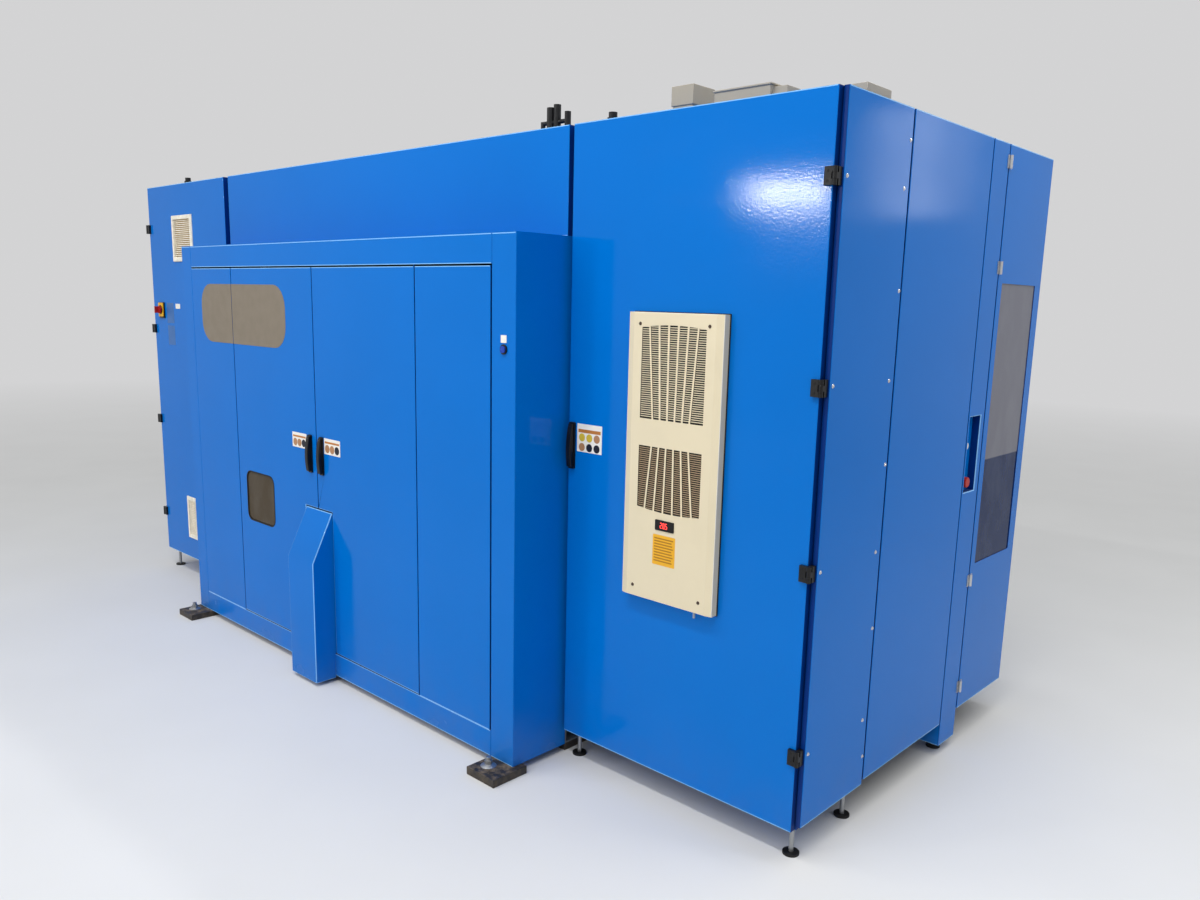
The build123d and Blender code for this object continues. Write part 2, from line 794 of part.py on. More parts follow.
def grille_opening(z0, z1, crown_up, x_inset):
    """The outline of a grille: straight sides, one flat end and one gently arched end."""
    x0 = cooler_mid_x - grille_width / 2 + x_inset
    x1 = cooler_mid_x + grille_width / 2 - x_inset
    y = -cooler_proud
    flat_z, arch_z, peak = (z0, z1, z1 + grille_crown) if crown_up else (z1, z0, z0 - grille_crown)
    sides = Polyline((x1, y, arch_z), (x1, y, flat_z), (x0, y, flat_z), (x0, y, arch_z))
    arch = ThreePointArc((x0, y, arch_z), ((x0 + x1) / 2, y, peak), (x1, y, arch_z))
    return make_face([sides, arch])


def grille_web(step, z0, z1, wide_up):
    """One slanted upright web between two columns of slots."""
    at_top = (grille_wide_end if wide_up else grille_narrow_end) * (step - 0.5)
    at_bottom = (grille_narrow_end if wide_up else grille_wide_end) * (step - 0.5)
    half = grille_bar / 2
    reach = grille_crown + slat_lap
    points = [
        (cooler_mid_x + at_bottom - half, z0 - reach), (cooler_mid_x + at_bottom + half, z0 - reach),
        (cooler_mid_x + at_top + half, z1 + reach), (cooler_mid_x + at_top - half, z1 + reach),
    ]
    outline = make_face(Polyline([(x, -cooler_proud, z) for x, z in points], close=True))
    return extrude(outline, cooler_sheet, dir=(0, 1, 0))


def grille(z0, height, wide_up):
    """The slats and webs that fill one grille opening."""
    z1 = z0 + height
    opening = extrude(grille_opening(z0, z1, wide_up, 0), cooler_sheet, dir=(0, 1, 0))
    webs = [grille_web(step, z0, z1, wide_up) & opening for step in range(-2, 4)]
    bars = []
    slat_y = -cooler_proud + cooler_sheet
    x0 = cooler_mid_x - grille_width / 2 - slat_lap
    x1 = x0 + grille_width + 2 * slat_lap
    low = z0 if wide_up else z0 - grille_crown
    count = round((height + grille_crown) / slat_pitch)
    pitch = (height + grille_crown) / count
    for row in range(1, count):
        z = low + row * pitch
        bars.append(block(x0, x1, slat_y, slat_y + slat_t, z - slat_height / 2, z + slat_height / 2))
    return opening, webs, bars


def cooler_cover():
    """The bevelled front cover of the cooling unit, with both grilles and the drain stub."""
    front = -cooler_proud
    shoulder = front + bevel_depth
    outline = [
        (cooler_x0, 0), (cooler_x0, shoulder), (cooler_x0 + bevel_width, front),
        (cooler_x1 - bevel_width, front), (cooler_x1, shoulder), (cooler_x1, 0),
    ]
    wall = cooler_sheet
    hollow = [
        (cooler_x0 + wall, 0), (cooler_x0 + wall, shoulder + wall), (cooler_x0 + bevel_width, front + wall),
        (cooler_x1 - bevel_width, front + wall), (cooler_x1 - wall, shoulder + wall), (cooler_x1 - wall, 0),
    ]
    cover = profile_along_z(outline, cooler_z0, cooler_z1)
    cover -= profile_along_z(hollow, cooler_z0 + wall, cooler_z1 - wall)
    upper = (upper_grille_z0, upper_grille_height, True)
    lower = (lower_grille_z0, lower_grille_height, False)
    for z0, height, wide_up in (upper, lower):
        opening, webs, bars = grille(z0, height, wide_up)
        cover = (cover - opening).fuse(*webs, *bars)
    drain_y = -cooler_proud / 2
    return cover + rod_z(drain_x, drain_y, drain_r, cooler_z0 - drain_length, cooler_z0)


def fan_places():
    """The height and the share of full size of the two fans."""
    upper_z = upper_grille_z0 + upper_grille_height / 2
    lower_z = lower_grille_z0 + lower_grille_height / 2
    return (upper_z, 1.0), (lower_z, lower_fan_share)


def cooler_body():
    """The closed body behind the cover, with a round fan pocket behind each grille."""
    x0 = cooler_x0 + cooler_inset
    x1 = cooler_x1 - cooler_inset
    body = block(x0, x1, cooler_front_y, cooler_back_y, cooler_z0 + cooler_inset, cooler_z1 - cooler_inset)
    pocket_y = cooler_front_y + fan_pocket_depth
    for z, share in fan_places():
        body -= rod_y(cooler_mid_x, z, fan_pocket_r * share, cooler_front_y, pocket_y)
        body += rod_y(cooler_mid_x, z, fan_shaft_r, cooler_front_y + fan_hub_t, pocket_y)
    return body


def fan(z, tip_r):
    """A fan: a hub that turns on the shaft's end, and pitched blades."""
    y0 = cooler_front_y + slide_gap
    y1 = cooler_front_y + fan_hub_t - slide_gap
    rotor = rod_y(cooler_mid_x, z, fan_hub_r, y0, y1)
    length = tip_r - fan_hub_r + slat_lap
    blade = Rot(fan_blade_pitch, 0, 0) * Box(length, fan_blade_chord, fan_blade_t)
    blade = Pos(fan_hub_r - slat_lap + length / 2, 0, 0) * blade
    for turn in range(fan_blades):
        rotor += Pos(cooler_mid_x, (y0 + y1) / 2, z) * Rot(0, turn * 360 / fan_blades, 0) * blade
    return rotor


def right_door():
    """The right cabinet door: folded, cut out for the cooling unit, with hinge knuckles and handle dish."""
    door = folded_panel(right_door_x0, right_door_x1, 0, panel_depth, right_cabinet_bottom_z, top_z, "+Y")
    gap = cooler_inset - slide_gap
    door -= block(cooler_x0 + gap, cooler_x1 - gap, 0, panel_depth, cooler_z0 + gap, cooler_z1 - gap)
    return door + handle_dish(right_door_x0 + door_lever_inset, door_lever_z0, 0)


def left_door():
    """The left cabinet door, cut out for the two vents and the switch shaft."""
    door = folded_panel(left_door_x0, left_door_x1, 0, panel_depth, left_cabinet_bottom_z, top_z, "+Y")
    hole = vent_size - 2 * vent_border
    hole_x0 = vent_x0 + vent_border
    for z0 in vent_z:
        hole_z0 = z0 + vent_border
        door -= block(hole_x0, hole_x0 + hole, 0, panel_depth, hole_z0, hole_z0 + hole)
    door -= rod_y(switch_x, switch_z, knob_shaft_r + slide_gap, 0, sheet)
    return door + handle_dish(left_door_x1 - door_lever_inset - lever_width, door_lever_z0, 0)


def vent(z0):
    """A square filter vent: a bevelled frame, slanted blades and the box behind the door."""
    x1 = vent_x0 + vent_size
    z1 = z0 + vent_size
    frame = block(vent_x0, x1, -vent_proud, 0, z0, z1)
    frame = chamfer(frame.faces().sort_by(Axis.Y)[0].edges(), vent_proud / 2)
    inset = vent_border + slide_gap
    frame += block(vent_x0 + inset, x1 - inset, 0, vent_body_depth, z0 + inset, z1 - inset)
    frame -= block(
        vent_x0 + 2 * vent_border, x1 - 2 * vent_border, -vent_proud, vent_body_depth,
        z0 + 2 * vent_border, z1 - 2 * vent_border,
    )
    pitch = (vent_size - 4 * vent_border) / vent_blades
    for row in range(vent_blades):
        z = z0 + 2 * vent_border + row * pitch
        top = z + pitch * vent_blade_share
        points = [(-vent_proud / 2, z), (0, top), (sheet, top), (sheet - vent_proud / 2, z)]
        frame += profile_along_x(points, vent_x0 + 2 * vent_border, x1 - 2 * vent_border)
    return frame


def switch_knob():
    """The main switch's rotary knob with its raised grip and shaft."""
    back = -switch_t - slide_gap
    knob = rod_y(switch_x, switch_z, knob_r, back - knob_t, back)
    knob += block(
        switch_x - grip_width / 2, switch_x + grip_width / 2, back - knob_t - grip_height, back - knob_t,
        switch_z - grip_reach, switch_z + grip_reach,
    )
    return knob + rod_y(switch_x, switch_z, knob_shaft_r, back, knob_shaft)


def side_plates():
    """The two flame-cut C plates of the press, with the throat open to the operator side."""
    outline = [
        (side_y0, base_top_z), (side_y1, base_top_z), (side_y1, throat_z0), (throat_y0, throat_z0),
        (throat_y0, throat_z1), (side_y1, throat_z1), (side_y1, side_z1), (side_y0, side_z1),
    ]
    plates = []
    for side in (-1, 1):
        x = mid_x + side * press_half
        plate = profile_along_x(outline, x - side_plate_t / 2, x + side_plate_t / 2)
        inner = [e for e in plate.edges().filter_by(Axis.X) if abs(e.center().Y - throat_y0) < 1]
        plates.append(fillet(inner, throat_r))
    return plates


def tie_beams():
    """Cross ties behind the blade holder, and the plate that carries its lifting cylinders."""
    x0 = mid_x - inner_half
    x1 = mid_x + inner_half
    ties = [block(x0, x1, side_y0, side_y0 + tie_t, z, z + tie_height) for z in tie_heights]
    ties.append(block(x0, x1, lift_y - tie_t, lift_y + tie_t, base_top_z, lift_z0))
    return ties


def drives():
    """Cylinder barrels: two over the blank holder, two under the blade holder."""
    barrels = []
    press_y = (crown_y0 + crown_y1) / 2
    for side in (-1, 1):
        x = mid_x + side * cylinder_spread
        upper = rod_z(x, press_y, cylinder_r, cylinder_z0, crown_z0)
        barrels.append(upper - rod_z(x, press_y, rod_r + pin_fit, cylinder_z0, crown_z0))
        lower = rod_z(x, lift_y, lift_r, lift_z0, lift_z1)
        barrels.append(lower - rod_z(x, lift_y, lift_rod_r + pin_fit, lift_z0, lift_z1))
    return barrels


def guide_rails():
    """Upright rails on the inner faces of the side plates, for both slides."""
    rails = []
    blank_y = (crown_y0 + crown_y1) / 2
    for side in (-1, 1):
        outer = mid_x + side * inner_half
        inner = outer - side * rail_t
        x0, x1 = sorted((outer, inner))
        upper = (sheet_z + rail_width / 2, crown_z0)
        lower = (blade_holder_z0 - rail_width, blade_holder_z1 + rail_width)
        for y, (low, high) in ((blank_y, upper), (lift_y, lower)):
            rails.append(block(x0, x1, y - rail_width / 2, y + rail_width / 2, low, high))
    return rails


def blank_holder():
    """The blank holder beam with its two rods."""
    solids = [block(mid_x - holder_half, mid_x + holder_half, crown_y0, crown_y1, blank_z0, blank_z1)]
    press_y = (crown_y0 + crown_y1) / 2
    for side in (-1, 1):
        solids.append(rod_z(mid_x + side * cylinder_spread, press_y, rod_r, blank_z1, rod_top_z))
    return solids


def upper_tools():
    """The segmented clamping tools under the blank holder, each with its nose at the bending line."""
    tools = []
    nose_y = bend_y + tool_gap * 3
    outline = [
        (nose_y, tool_tip_z), (nose_y + tool_nose * 3, tool_tip_z),
        (nose_y + tool_width, blank_z0 - tool_nose * 2), (nose_y + tool_width, blank_z0),
        (crown_y0, blank_z0), (nose_y + tool_nose, tool_tip_z + tool_nose * 3),
        (nose_y, tool_tip_z + tool_nose),
    ]
    pitch = 2 * holder_half / tool_segments
    for place in range(tool_segments):
        x0 = mid_x - holder_half + place * pitch
        tools.append(profile_along_x(outline, x0 + tool_segment_gap, x0 + pitch - tool_segment_gap))
    return tools


def bed():
    """The bed under the bending line: its beam, the deck insert and the counter-blade."""
    x0 = mid_x - inner_half
    x1 = mid_x + inner_half
    nose_y = bend_y + tool_gap
    counter = [
        (nose_y, sheet_z), (nose_y, sheet_z - tool_nose), (nose_y + tool_nose, throat_z0),
        (bed_deck_y0, throat_z0), (bed_deck_y0, sheet_z),
    ]
    return (
        block(x0, x1, throat_y0, side_y1, base_top_z, throat_z0),
        block(x0, x1, bed_deck_y0, side_y1, throat_z0, deck_z1),
        profile_along_x(counter, mid_x - holder_half, mid_x + holder_half),
    )


def blade_holder():
    """The welded C of the blade holder, open to the bending line: web, two arms and two lifting rods."""
    x0 = mid_x - holder_half
    x1 = mid_x + holder_half
    web_y1 = blade_web_y0 + blade_web_t
    solids = [
        block(x0, x1, blade_web_y0, web_y1, blade_holder_z0, blade_holder_z1),
        block(x0, x1, web_y1, blade_arm_y1, blade_holder_z0, blade_holder_z0 + blade_arm_t),
        block(x0, x1, web_y1, blade_arm_y1, blade_holder_z1 - blade_arm_t, blade_holder_z1),
    ]
    for side in (-1, 1):
        solids.append(rod_z(mid_x + side * cylinder_spread, lift_y, lift_rod_r, lift_rod_z0, blade_holder_z0))
    return solids


def bending_blades():
    """The upper and the lower bending blade, mirror images about the sheet line."""
    blades = []
    tip_y = bend_y - tool_gap
    for way, arm_z in ((1, blade_holder_z1 - blade_arm_t), (-1, blade_holder_z0 + blade_arm_t)):
        tip_z = blade_rest_z + way * blade_tip_gap
        points = [
            (blade_arm_y1 - blade_root, arm_z), (blade_arm_y1, arm_z), (tip_y, tip_z + way * blade_edge),
            (tip_y, tip_z), (tip_y - blade_edge, tip_z),
            (blade_arm_y1 - blade_root, arm_z - way * blade_root),
        ]
        blades.append(profile_along_x(points, mid_x - holder_half, mid_x + holder_half))
    return blades


def work_table():
    """Two deck plates beside the manipulator slot, on hollow legs with rails under them."""
    solids = []
    deck_z0 = deck_z1 - deck_t
    for x0, x1 in ((table_x0, mid_x - slot_half), (mid_x + slot_half, table_x1)):
        solids.append(block(x0, x1, table_y0, table_y1, deck_z0, deck_z1))
        for y in (machine_y1 + leg_inset, table_y1 - leg_inset):
            for x in (x0 + leg_inset, x1 - leg_inset - leg):
                solids.append(hollow_beam(x, x + leg, y - leg, y, 0, deck_z0 - leg, "Z", upright_wall))
            rail_x = (x0 + leg_inset, x1 - leg_inset)
            solids.append(hollow_beam(*rail_x, y - leg, y, deck_z0 - leg, deck_z0, "X", upright_wall))
    return solids


def manipulator_track():
    """The beam that the manipulator slides on, on two posts."""
    x0 = mid_x - track_half
    x1 = mid_x + track_half
    track = [hollow_beam(x0, x1, table_y0, track_y1, track_z0, track_z1, "Y", beam_wall)]
    half = leg / 2
    for y in (table_y0 + leg_inset, table_y1 - leg_inset):
        track.append(hollow_beam(mid_x - half, mid_x + half, y - half, y + half, 0, track_z0, "Z", beam_wall))
    return track


def carriage():
    """The C-shaped carriage: foot on the track, column, upper arm and pedestal."""
    x0 = mid_x - carriage_half
    x1 = mid_x + carriage_half
    foot_z0 = track_z1 + slide_gap
    foot_z1 = foot_z0 + carriage_base
    column_y0 = carriage_y + carriage_reach
    column_y1 = column_y0 + column_depth
    arm = block(x0, x1, carriage_y - arm_nose, column_y0, arm_z0, arm_z1)
    return (
        block(x0, x1, carriage_y - arm_nose, column_y1, foot_z0, foot_z1),
        block(x0, x1, column_y0, column_y1, foot_z1, arm_z1),
        arm - rod_z(mid_x, carriage_y, clamp_rod_r + pin_fit, arm_z0, arm_z1),
        rod_z(mid_x, carriage_y, pedestal_r, foot_z1, sheet_z - turn_t - slide_gap),
    )


def clamp():
    """The upper clamping disc on its rod."""
    disc_z0 = sheet_z + tool_gap
    disc_z1 = disc_z0 + clamp_t
    disc = rod_z(mid_x, carriage_y, clamp_r, disc_z0, disc_z1)
    return disc + rod_z(mid_x, carriage_y, clamp_rod_r, disc_z1, arm_z1 + rod_clearance)


def lidded_box(x0, width, depth, height):
    """A junction box on the roof with a lid that laps over it."""
    x1 = x0 + width
    y1 = box_y0 + depth
    z1 = top_z + height
    lid = block(x0 - lid_lap, x1 + lid_lap, box_y0 - lid_lap, y1 + lid_lap, z1, z1 + box_lid)
    return block(x0, x1, box_y0, y1, top_z, z1) + lid


def roof_boxes():
    """Junction boxes on the roof above the right cabinet."""
    tall = lidded_box(tall_box_x0, tall_box_width, tall_box_depth, tall_box_height)
    tall_x1 = tall_box_x0 + tall_box_width
    tall_y1 = box_y0 + tall_box_depth
    upper_z0 = top_z + tall_box_body
    tall += block(
        tall_box_x0 - lid_lap, tall_x1 + lid_lap, box_y0 - lid_lap, tall_y1 + lid_lap,
        upper_z0, top_z + tall_box_height,
    )
    wide = lidded_box(wide_box_x0, wide_box_width, wide_box_depth, wide_box_height)
    side_x0 = wide_box_x0 + wide_box_width
    side_y0_box = box_y0 + side_box_inset
    side = block(
        side_x0, side_x0 + side_box_width, side_y0_box, side_y0_box + side_box_depth,
        top_z, top_z + side_box_height,
    )
    corner_x1 = -corner_box_inset
    corner = block(
        corner_x1 - corner_box_width, corner_x1, corner_box_y0, cabinet_depth - corner_gap,
        top_z, top_z + corner_box_height,
    )
    return tall, wide + side, corner


def cable_gland(x, y):
    """A cable gland on the roof: flange, hexagon and neck, one solid."""
    gland = rod_z(x, y, gland_flange_r, top_z, top_z + gland_flange_t)
    gland += Pos(x, y, top_z + gland_flange_t) * extrude(RegularPolygon(gland_nut_r, 6), gland_nut_t)
    neck_z0 = top_z + gland_flange_t + gland_nut_t
    return gland + rod_z(x, y, gland_neck_r, neck_z0, neck_z0 + gland_neck)


def air_unit():
    """The air service fittings over the rear wall, and the cable glands beside them."""
    middle = air_y0 + air_base
    base = block(air_x0, air_x0 + air_width, air_y0, air_y0 + 2 * air_base, top_z, top_z + air_base)
    for offset, r, height in air_bowls:
        base += rod_z(air_x0 + offset, middle, r, top_z + air_base, top_z + height)
    pipe_x0 = air_x0 + air_bowls[0][0]
    pipe_x1 = air_x0 + air_bowls[-1][0]
    base += rod_x(middle, top_z + air_pipe_z, air_pipe_r, pipe_x0, pipe_x1)
    return base, *[cable_gland(x, y) for x, y in gland_places]


# Base, feet and cases
keep("base_frame", *base_frame())
keep("foot_plates", *foot_plates())
keep("levelling_feet", *feet())
keep(
    "left_cabinet_case",
    *cabinet_case(left_case_x0, left_door_x1, left_cabinet_bottom_z, left_door_x0, left_door_x1),
)
keep(
    "right_cabinet_case",
    *cabinet_case(right_door_x0, right_case_x1, right_cabinet_bottom_z, right_door_x0, right_door_x1),
)
gear_z0 = left_cabinet_bottom_z + gear_plate_margin
keep(
    "electrical_gear",
    gear_board(right_door_x0 + gear_plate_margin, -gear_plate_margin, gear_z0, right_rows),
    gear_board(left_door_x0 + gear_plate_margin, left_door_x1 - gear_plate_margin, gear_z0, left_rows),
)

# Rear wall with the recessed strips beside it, and the roof
keep(
    "rear_wall",
    folded_panel(rear_wall_x0, rear_wall_x1, 0, panel_depth, bay_top_z, top_z, "+Y"),
    block(rear_wall_x1, right_door_x0, strip_y, strip_y + sheet, base_top_z, top_z),
    block(left_door_x1, rear_wall_x0, strip_y, strip_y + sheet, base_top_z, top_z),
)
roof_z0 = top_z - sheet
keep(
    "roof",
    block(rear_wall_x0, rear_wall_x1, panel_depth, operator_y0, roof_z0, top_z),
    block(rear_wall_x1, right_case_x1, cabinet_depth, end_post_y0, roof_z0, top_z),
    block(rear_wall_x1, end_panel_depth - post_depth, end_post_y0, end_post_y1, roof_z0, top_z),
    block(rear_wall_x1, end_panel_depth - panel_depth - seat_gap, end_post_y1, operator_y0, roof_z0, top_z),
    block(left_case_x0, rear_wall_x0, cabinet_depth, operator_y0, roof_z0, top_z),
)
keep("roof_boxes", *roof_boxes())
keep("air_unit", *air_unit())

# Service bay
left_stile, left_wall = bay_corner(bay_x0, opening_x0, bay_x0, opening_x0 - sheet)
right_stile, right_wall = bay_corner(opening_x1, bay_x1, bay_x1 - sheet, opening_x1 - stop_lip)
right_stile -= rod_y(bay_button_x, bay_button_z, button_r + slide_gap, bay_y0, bay_y0 + sheet)
keep("bay_corner_left", left_stile, left_wall)
keep("bay_corner_right", right_stile, right_wall)
keep(
    "bay_top_rail",
    bay_rail(bay_opening_top_z, bay_top_z - sheet, bay_opening_top_z),
    block(bay_x0, bay_x1, bay_y0, panel_depth, bay_top_z - sheet, bay_top_z),
)
keep(
    "bay_bottom_rail",
    bay_rail(bay_bottom_z, bay_opening_bottom_z, bay_opening_bottom_z - sheet),
    block(bay_x0 + sheet, bay_x1 - sheet, bay_back_y, front_beam_y0, bay_bottom_z, bay_bottom_z + sheet),
)
panel_z1 = bay_opening_top_z - frame_gap
side_panels = (
    (opening_x0 + slide_gap, left_seam_x - leaf_gap / 2),
    (right_seam_x + leaf_gap / 2, opening_x1 - frame_gap),
)
side_panel_z = (bay_opening_bottom_z, panel_z1)
keep(
    "bay_side_panels",
    *[folded_panel(x0, x1, bay_y0, bay_back_y, *side_panel_z, "+Y") for x0, x1 in side_panels],
)
keep("floor_hood", *floor_hood())

# Leaves, their window and their handles
hood_x1 = hood_x0 + hood_width
left_lever_x0 = meeting_x - leaf_lever_offset - lever_width
right_lever_x0 = meeting_x + leaf_lever_offset
left_leaf = leaf(
    left_seam_x + leaf_gap / 2, meeting_x - leaf_gap / 2, left_leaf_pin_x, left_lever_x0,
    hood_x0 - notch_gap, meeting_x,
)
pane_x1 = window_x0 + window_width
pane_z1 = window_z0 + window_height
left_leaf -= rounded_plate_y(window_x0, pane_x1, window_z0, pane_z1, bay_y0, bay_y0 + sheet, window_corner_r)
keep("left_leaf", left_leaf)
keep(
    "leaf_window",
    rounded_plate_y(
        window_x0 - window_lap, pane_x1 + window_lap, window_z0 - window_lap, pane_z1 + window_lap,
        bay_y0 + sheet, bay_y0 + sheet + pane_t, window_corner_r + window_lap,
    ),
)
keep(
    "right_leaf",
    leaf(
        meeting_x + leaf_gap / 2, right_seam_x - leaf_gap / 2, right_leaf_pin_x, right_lever_x0,
        meeting_x, hood_x1 + notch_gap,
    ),
)
keep("left_leaf_lever", swing_lever(left_lever_x0, leaf_lever_z0, bay_y0))
keep("right_leaf_lever", swing_lever(right_lever_x0, leaf_lever_z0, bay_y0))

# Cabinet doors with their hinges
right_door_solid = right_door()
left_door_solid = left_door()
fixed_hinges = []
for z in door_hinge_heights:
    fixed, moving = hinge(
        right_hinge_x, hinge_y, z, door_hinge_height, door_knuckle_r, door_hinge_swing,
        (right_hinge_x - door_knuckle_r, right_hinge_x + door_knuckle_r, hinge_y, end_front_y0),
        (right_door_x1 - door_hinge_leaf, right_hinge_x, hinge_y - hinge_out_x, 0),
    )
    fixed_hinges.append(fixed)
    right_door_solid += moving
    fixed, moving = hinge(
        left_hinge_x, hinge_y, z, door_hinge_height, door_knuckle_r, door_hinge_swing,
        (left_hinge_x - door_knuckle_r, left_hinge_x + door_knuckle_r, hinge_y, end_front_y0),
        (left_hinge_x, left_door_x0 + door_hinge_leaf, hinge_y - hinge_out_x, 0),
    )
    fixed_hinges.append(fixed)
    left_door_solid += moving
keep("right_door", right_door_solid)
keep("left_door", left_door_solid)
keep("cabinet_hinges", *fixed_hinges)
right_door_lever_x0 = right_door_x0 + door_lever_inset
left_door_lever_x0 = left_door_x1 - door_lever_inset - lever_width
keep("right_door_lever", swing_lever(right_door_lever_x0, door_lever_z0, 0))
keep("left_door_lever", swing_lever(left_door_lever_x0, door_lever_z0, 0))

# Cooling unit
keep("cooler_cover", cooler_cover())
keep("cooler_body", cooler_body())
for name, (z, share) in zip(("upper_fan", "lower_fan"), fan_places()):
    keep(name, fan(z, fan_tip_r * share))
keep(
    "cooler_display",
    rounded_plate_y(
        display_mid_x - display_width / 2, display_mid_x + display_width / 2,
        display_mid_z - display_height / 2, display_mid_z + display_height / 2,
        -cooler_proud - display_proud, -cooler_proud, sheet,
    ),
)

# Vents and main switch on the left door
keep("door_vents", *[vent(z) for z in vent_z])
keep(
    "main_switch_body",
    rounded_plate_y(
        switch_x - switch_width / 2, switch_x + switch_width / 2,
        switch_z - switch_height / 2, switch_z + switch_height / 2, -switch_t, 0, sheet,
    ) - rod_y(switch_x, switch_z, knob_shaft_r + slide_gap, -switch_t, 0),
)
keep("main_switch_knob", switch_knob())

# End faces
end_panels = (
    ("end_panel_front", end_front_y0, cabinet_depth, end_front_bottom_z),
    ("end_panel_middle", end_middle_y0, end_middle_y1, end_middle_bottom_z),
)
for name, y0, y1, z0 in end_panels:
    keep(name, folded_panel(end_x0, end_x1, y0, y1, z0, top_z, "-X"))
keep("end_post", end_post())
left_ends = ((end_front_y0, cabinet_depth), (end_middle_y0, end_middle_y1), (end_post_y0, machine_y1))
left_end_z = (end_front_bottom_z, top_z)
keep(
    "left_end_panels",
    *[folded_panel(left_end_x0, left_case_x0, y0, y1, *left_end_z, "+X") for y0, y1 in left_ends],
)

# End door with its pane and hinges
end_door = folded_panel(end_x1 - panel_depth, end_x1, end_door_y0, machine_y1, end_door_bottom_z, top_z, "-X")
end_window_y1 = end_window_y0 + end_window_width
end_window_z1 = end_window_z0 + end_window_height
end_door -= rounded_plate_x(
    end_window_y0, end_window_y1, end_window_z0, end_window_z1, end_x1 - sheet, end_x1, end_window_corner_r
)
end_fixed = []
for z in end_hinge_heights:
    fixed, moving = hinge(
        end_hinge_x, end_hinge_y, z, end_hinge_height, end_knuckle_r, end_hinge_swing,
        (end_x1, end_x1 + end_leaf_t, end_post_y1 - end_leaf_width, end_hinge_y),
        (end_x1, end_x1 + end_leaf_t, end_hinge_y, end_door_y0 + end_leaf_width),
    )
    end_fixed.append(fixed)
    end_door += moving
keep("end_door", end_door)
keep("end_door_hinges", *end_fixed)
keep(
    "end_door_pane",
    rounded_plate_x(
        end_window_y0 - window_lap, end_window_y1 + window_lap,
        end_window_z0 - window_lap, end_window_z1 + window_lap,
        end_x1 - sheet - pane_t, end_x1 - sheet, end_window_corner_r + window_lap,
    ),
)

# Buttons and their bezels
to_service = Rot(90, 0, 0)
to_end = Rot(0, 90, 0)
bay_button_place = Pos(bay_button_x, bay_y0, bay_button_z)
post_button_place = Pos(recess_floor_x, recess_mid_y, post_button_z)
stop_button_place = Pos(recess_floor_x, recess_mid_y, stop_button_z)
keep(
    "button_bezels",
    bay_button_place * to_service * button_ring(bezel_r, button_r + slide_gap),
    post_button_place * to_end * button_ring(bezel_r, button_r + slide_gap),
    stop_button_place * to_end * button_ring(stop_bezel_r, stop_stem_r + slide_gap),
)
plunger = Pos(0, 0, (button_proud - button_tail) / 2) * Cylinder(button_r, button_proud + button_tail)
keep("bay_button", bay_button_place * to_service * plunger)
keep("post_button", post_button_place * to_end * plunger)
stop_cap_z0 = bezel_t + stop_gap
stop_cap = Pos(0, 0, stop_cap_z0 + stop_cap_t / 2) * Cylinder(stop_cap_r, stop_cap_t)
stop_cap = chamfer(stop_cap.faces().sort_by(Axis.Z)[-1].edges(), stop_cap_t / 4)
stop_stem = Pos(0, 0, (stop_cap_z0 - button_tail) / 2) * Cylinder(stop_stem_r, stop_cap_z0 + button_tail)
keep("stop_button", stop_button_place * to_end * (stop_cap + stop_stem))

# Operator side covers
apron_z0 = base_top_z - apron_lap
operator_covers = (
    (rear_wall_x0, rear_wall_x1, fascia_bottom_z, top_z),
    (rear_wall_x1 + end_seam, end_x1 - panel_depth - end_seam, end_front_bottom_z, top_z),
    (left_case_x0, rear_wall_x0 - end_seam, end_front_bottom_z, top_z),
    (rear_wall_x0, mid_x - apron_gap, apron_z0, apron_top_z),
    (mid_x + apron_gap, rear_wall_x1, apron_z0, apron_top_z),
)
keep(
    "operator_panels",
    *[folded_panel(x0, x1, operator_y0, machine_y1, z0, z1, "-Y") for x0, x1, z0, z1 in operator_covers],
)

# Press and tools
keep("press_frame", *side_plates(), *tie_beams())
keep("press_crown", block(mid_x - inner_half, mid_x + inner_half, crown_y0, crown_y1, crown_z0, crown_z1))
keep("drive_cylinders", *drives())
keep("guide_rails", *guide_rails())
keep("bed_beam", *bed())
keep("blank_holder", *blank_holder())
keep("upper_tools", *upper_tools())
keep("blade_holder", *blade_holder())
keep("bending_blades", *bending_blades())

# Table and manipulator
keep("work_table", *work_table())
keep("manipulator_track", *manipulator_track())
keep("carriage", *carriage())
keep("rotator", rod_z(mid_x, carriage_y, turn_r, sheet_z - turn_t, sheet_z))
keep("clamp", clamp())

# The origin is the bottom centre of everything
os.makedirs("parts", exist_ok=True)
whole = Compound(children=[piece.moved(Location()) for piece in pieces.values()]).bounding_box()
origin_x = (whole.min.X + whole.max.X) / 2
origin_y = (whole.min.Y + whole.max.Y) / 2
to_origin = Pos(-origin_x, -origin_y, -whole.min.Z)
for name, piece in pieces.items():
    export_step(to_origin * piece, f"parts/{name}.step")
print(len(pieces), "nodes, origin at", round(origin_x, 3), round(origin_y, 3), "size", whole.size)
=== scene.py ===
import json
import math

import bmesh
import bpy
from bpy.props import FloatProperty, FloatVectorProperty, PointerProperty
from mathutils import Matrix, Vector

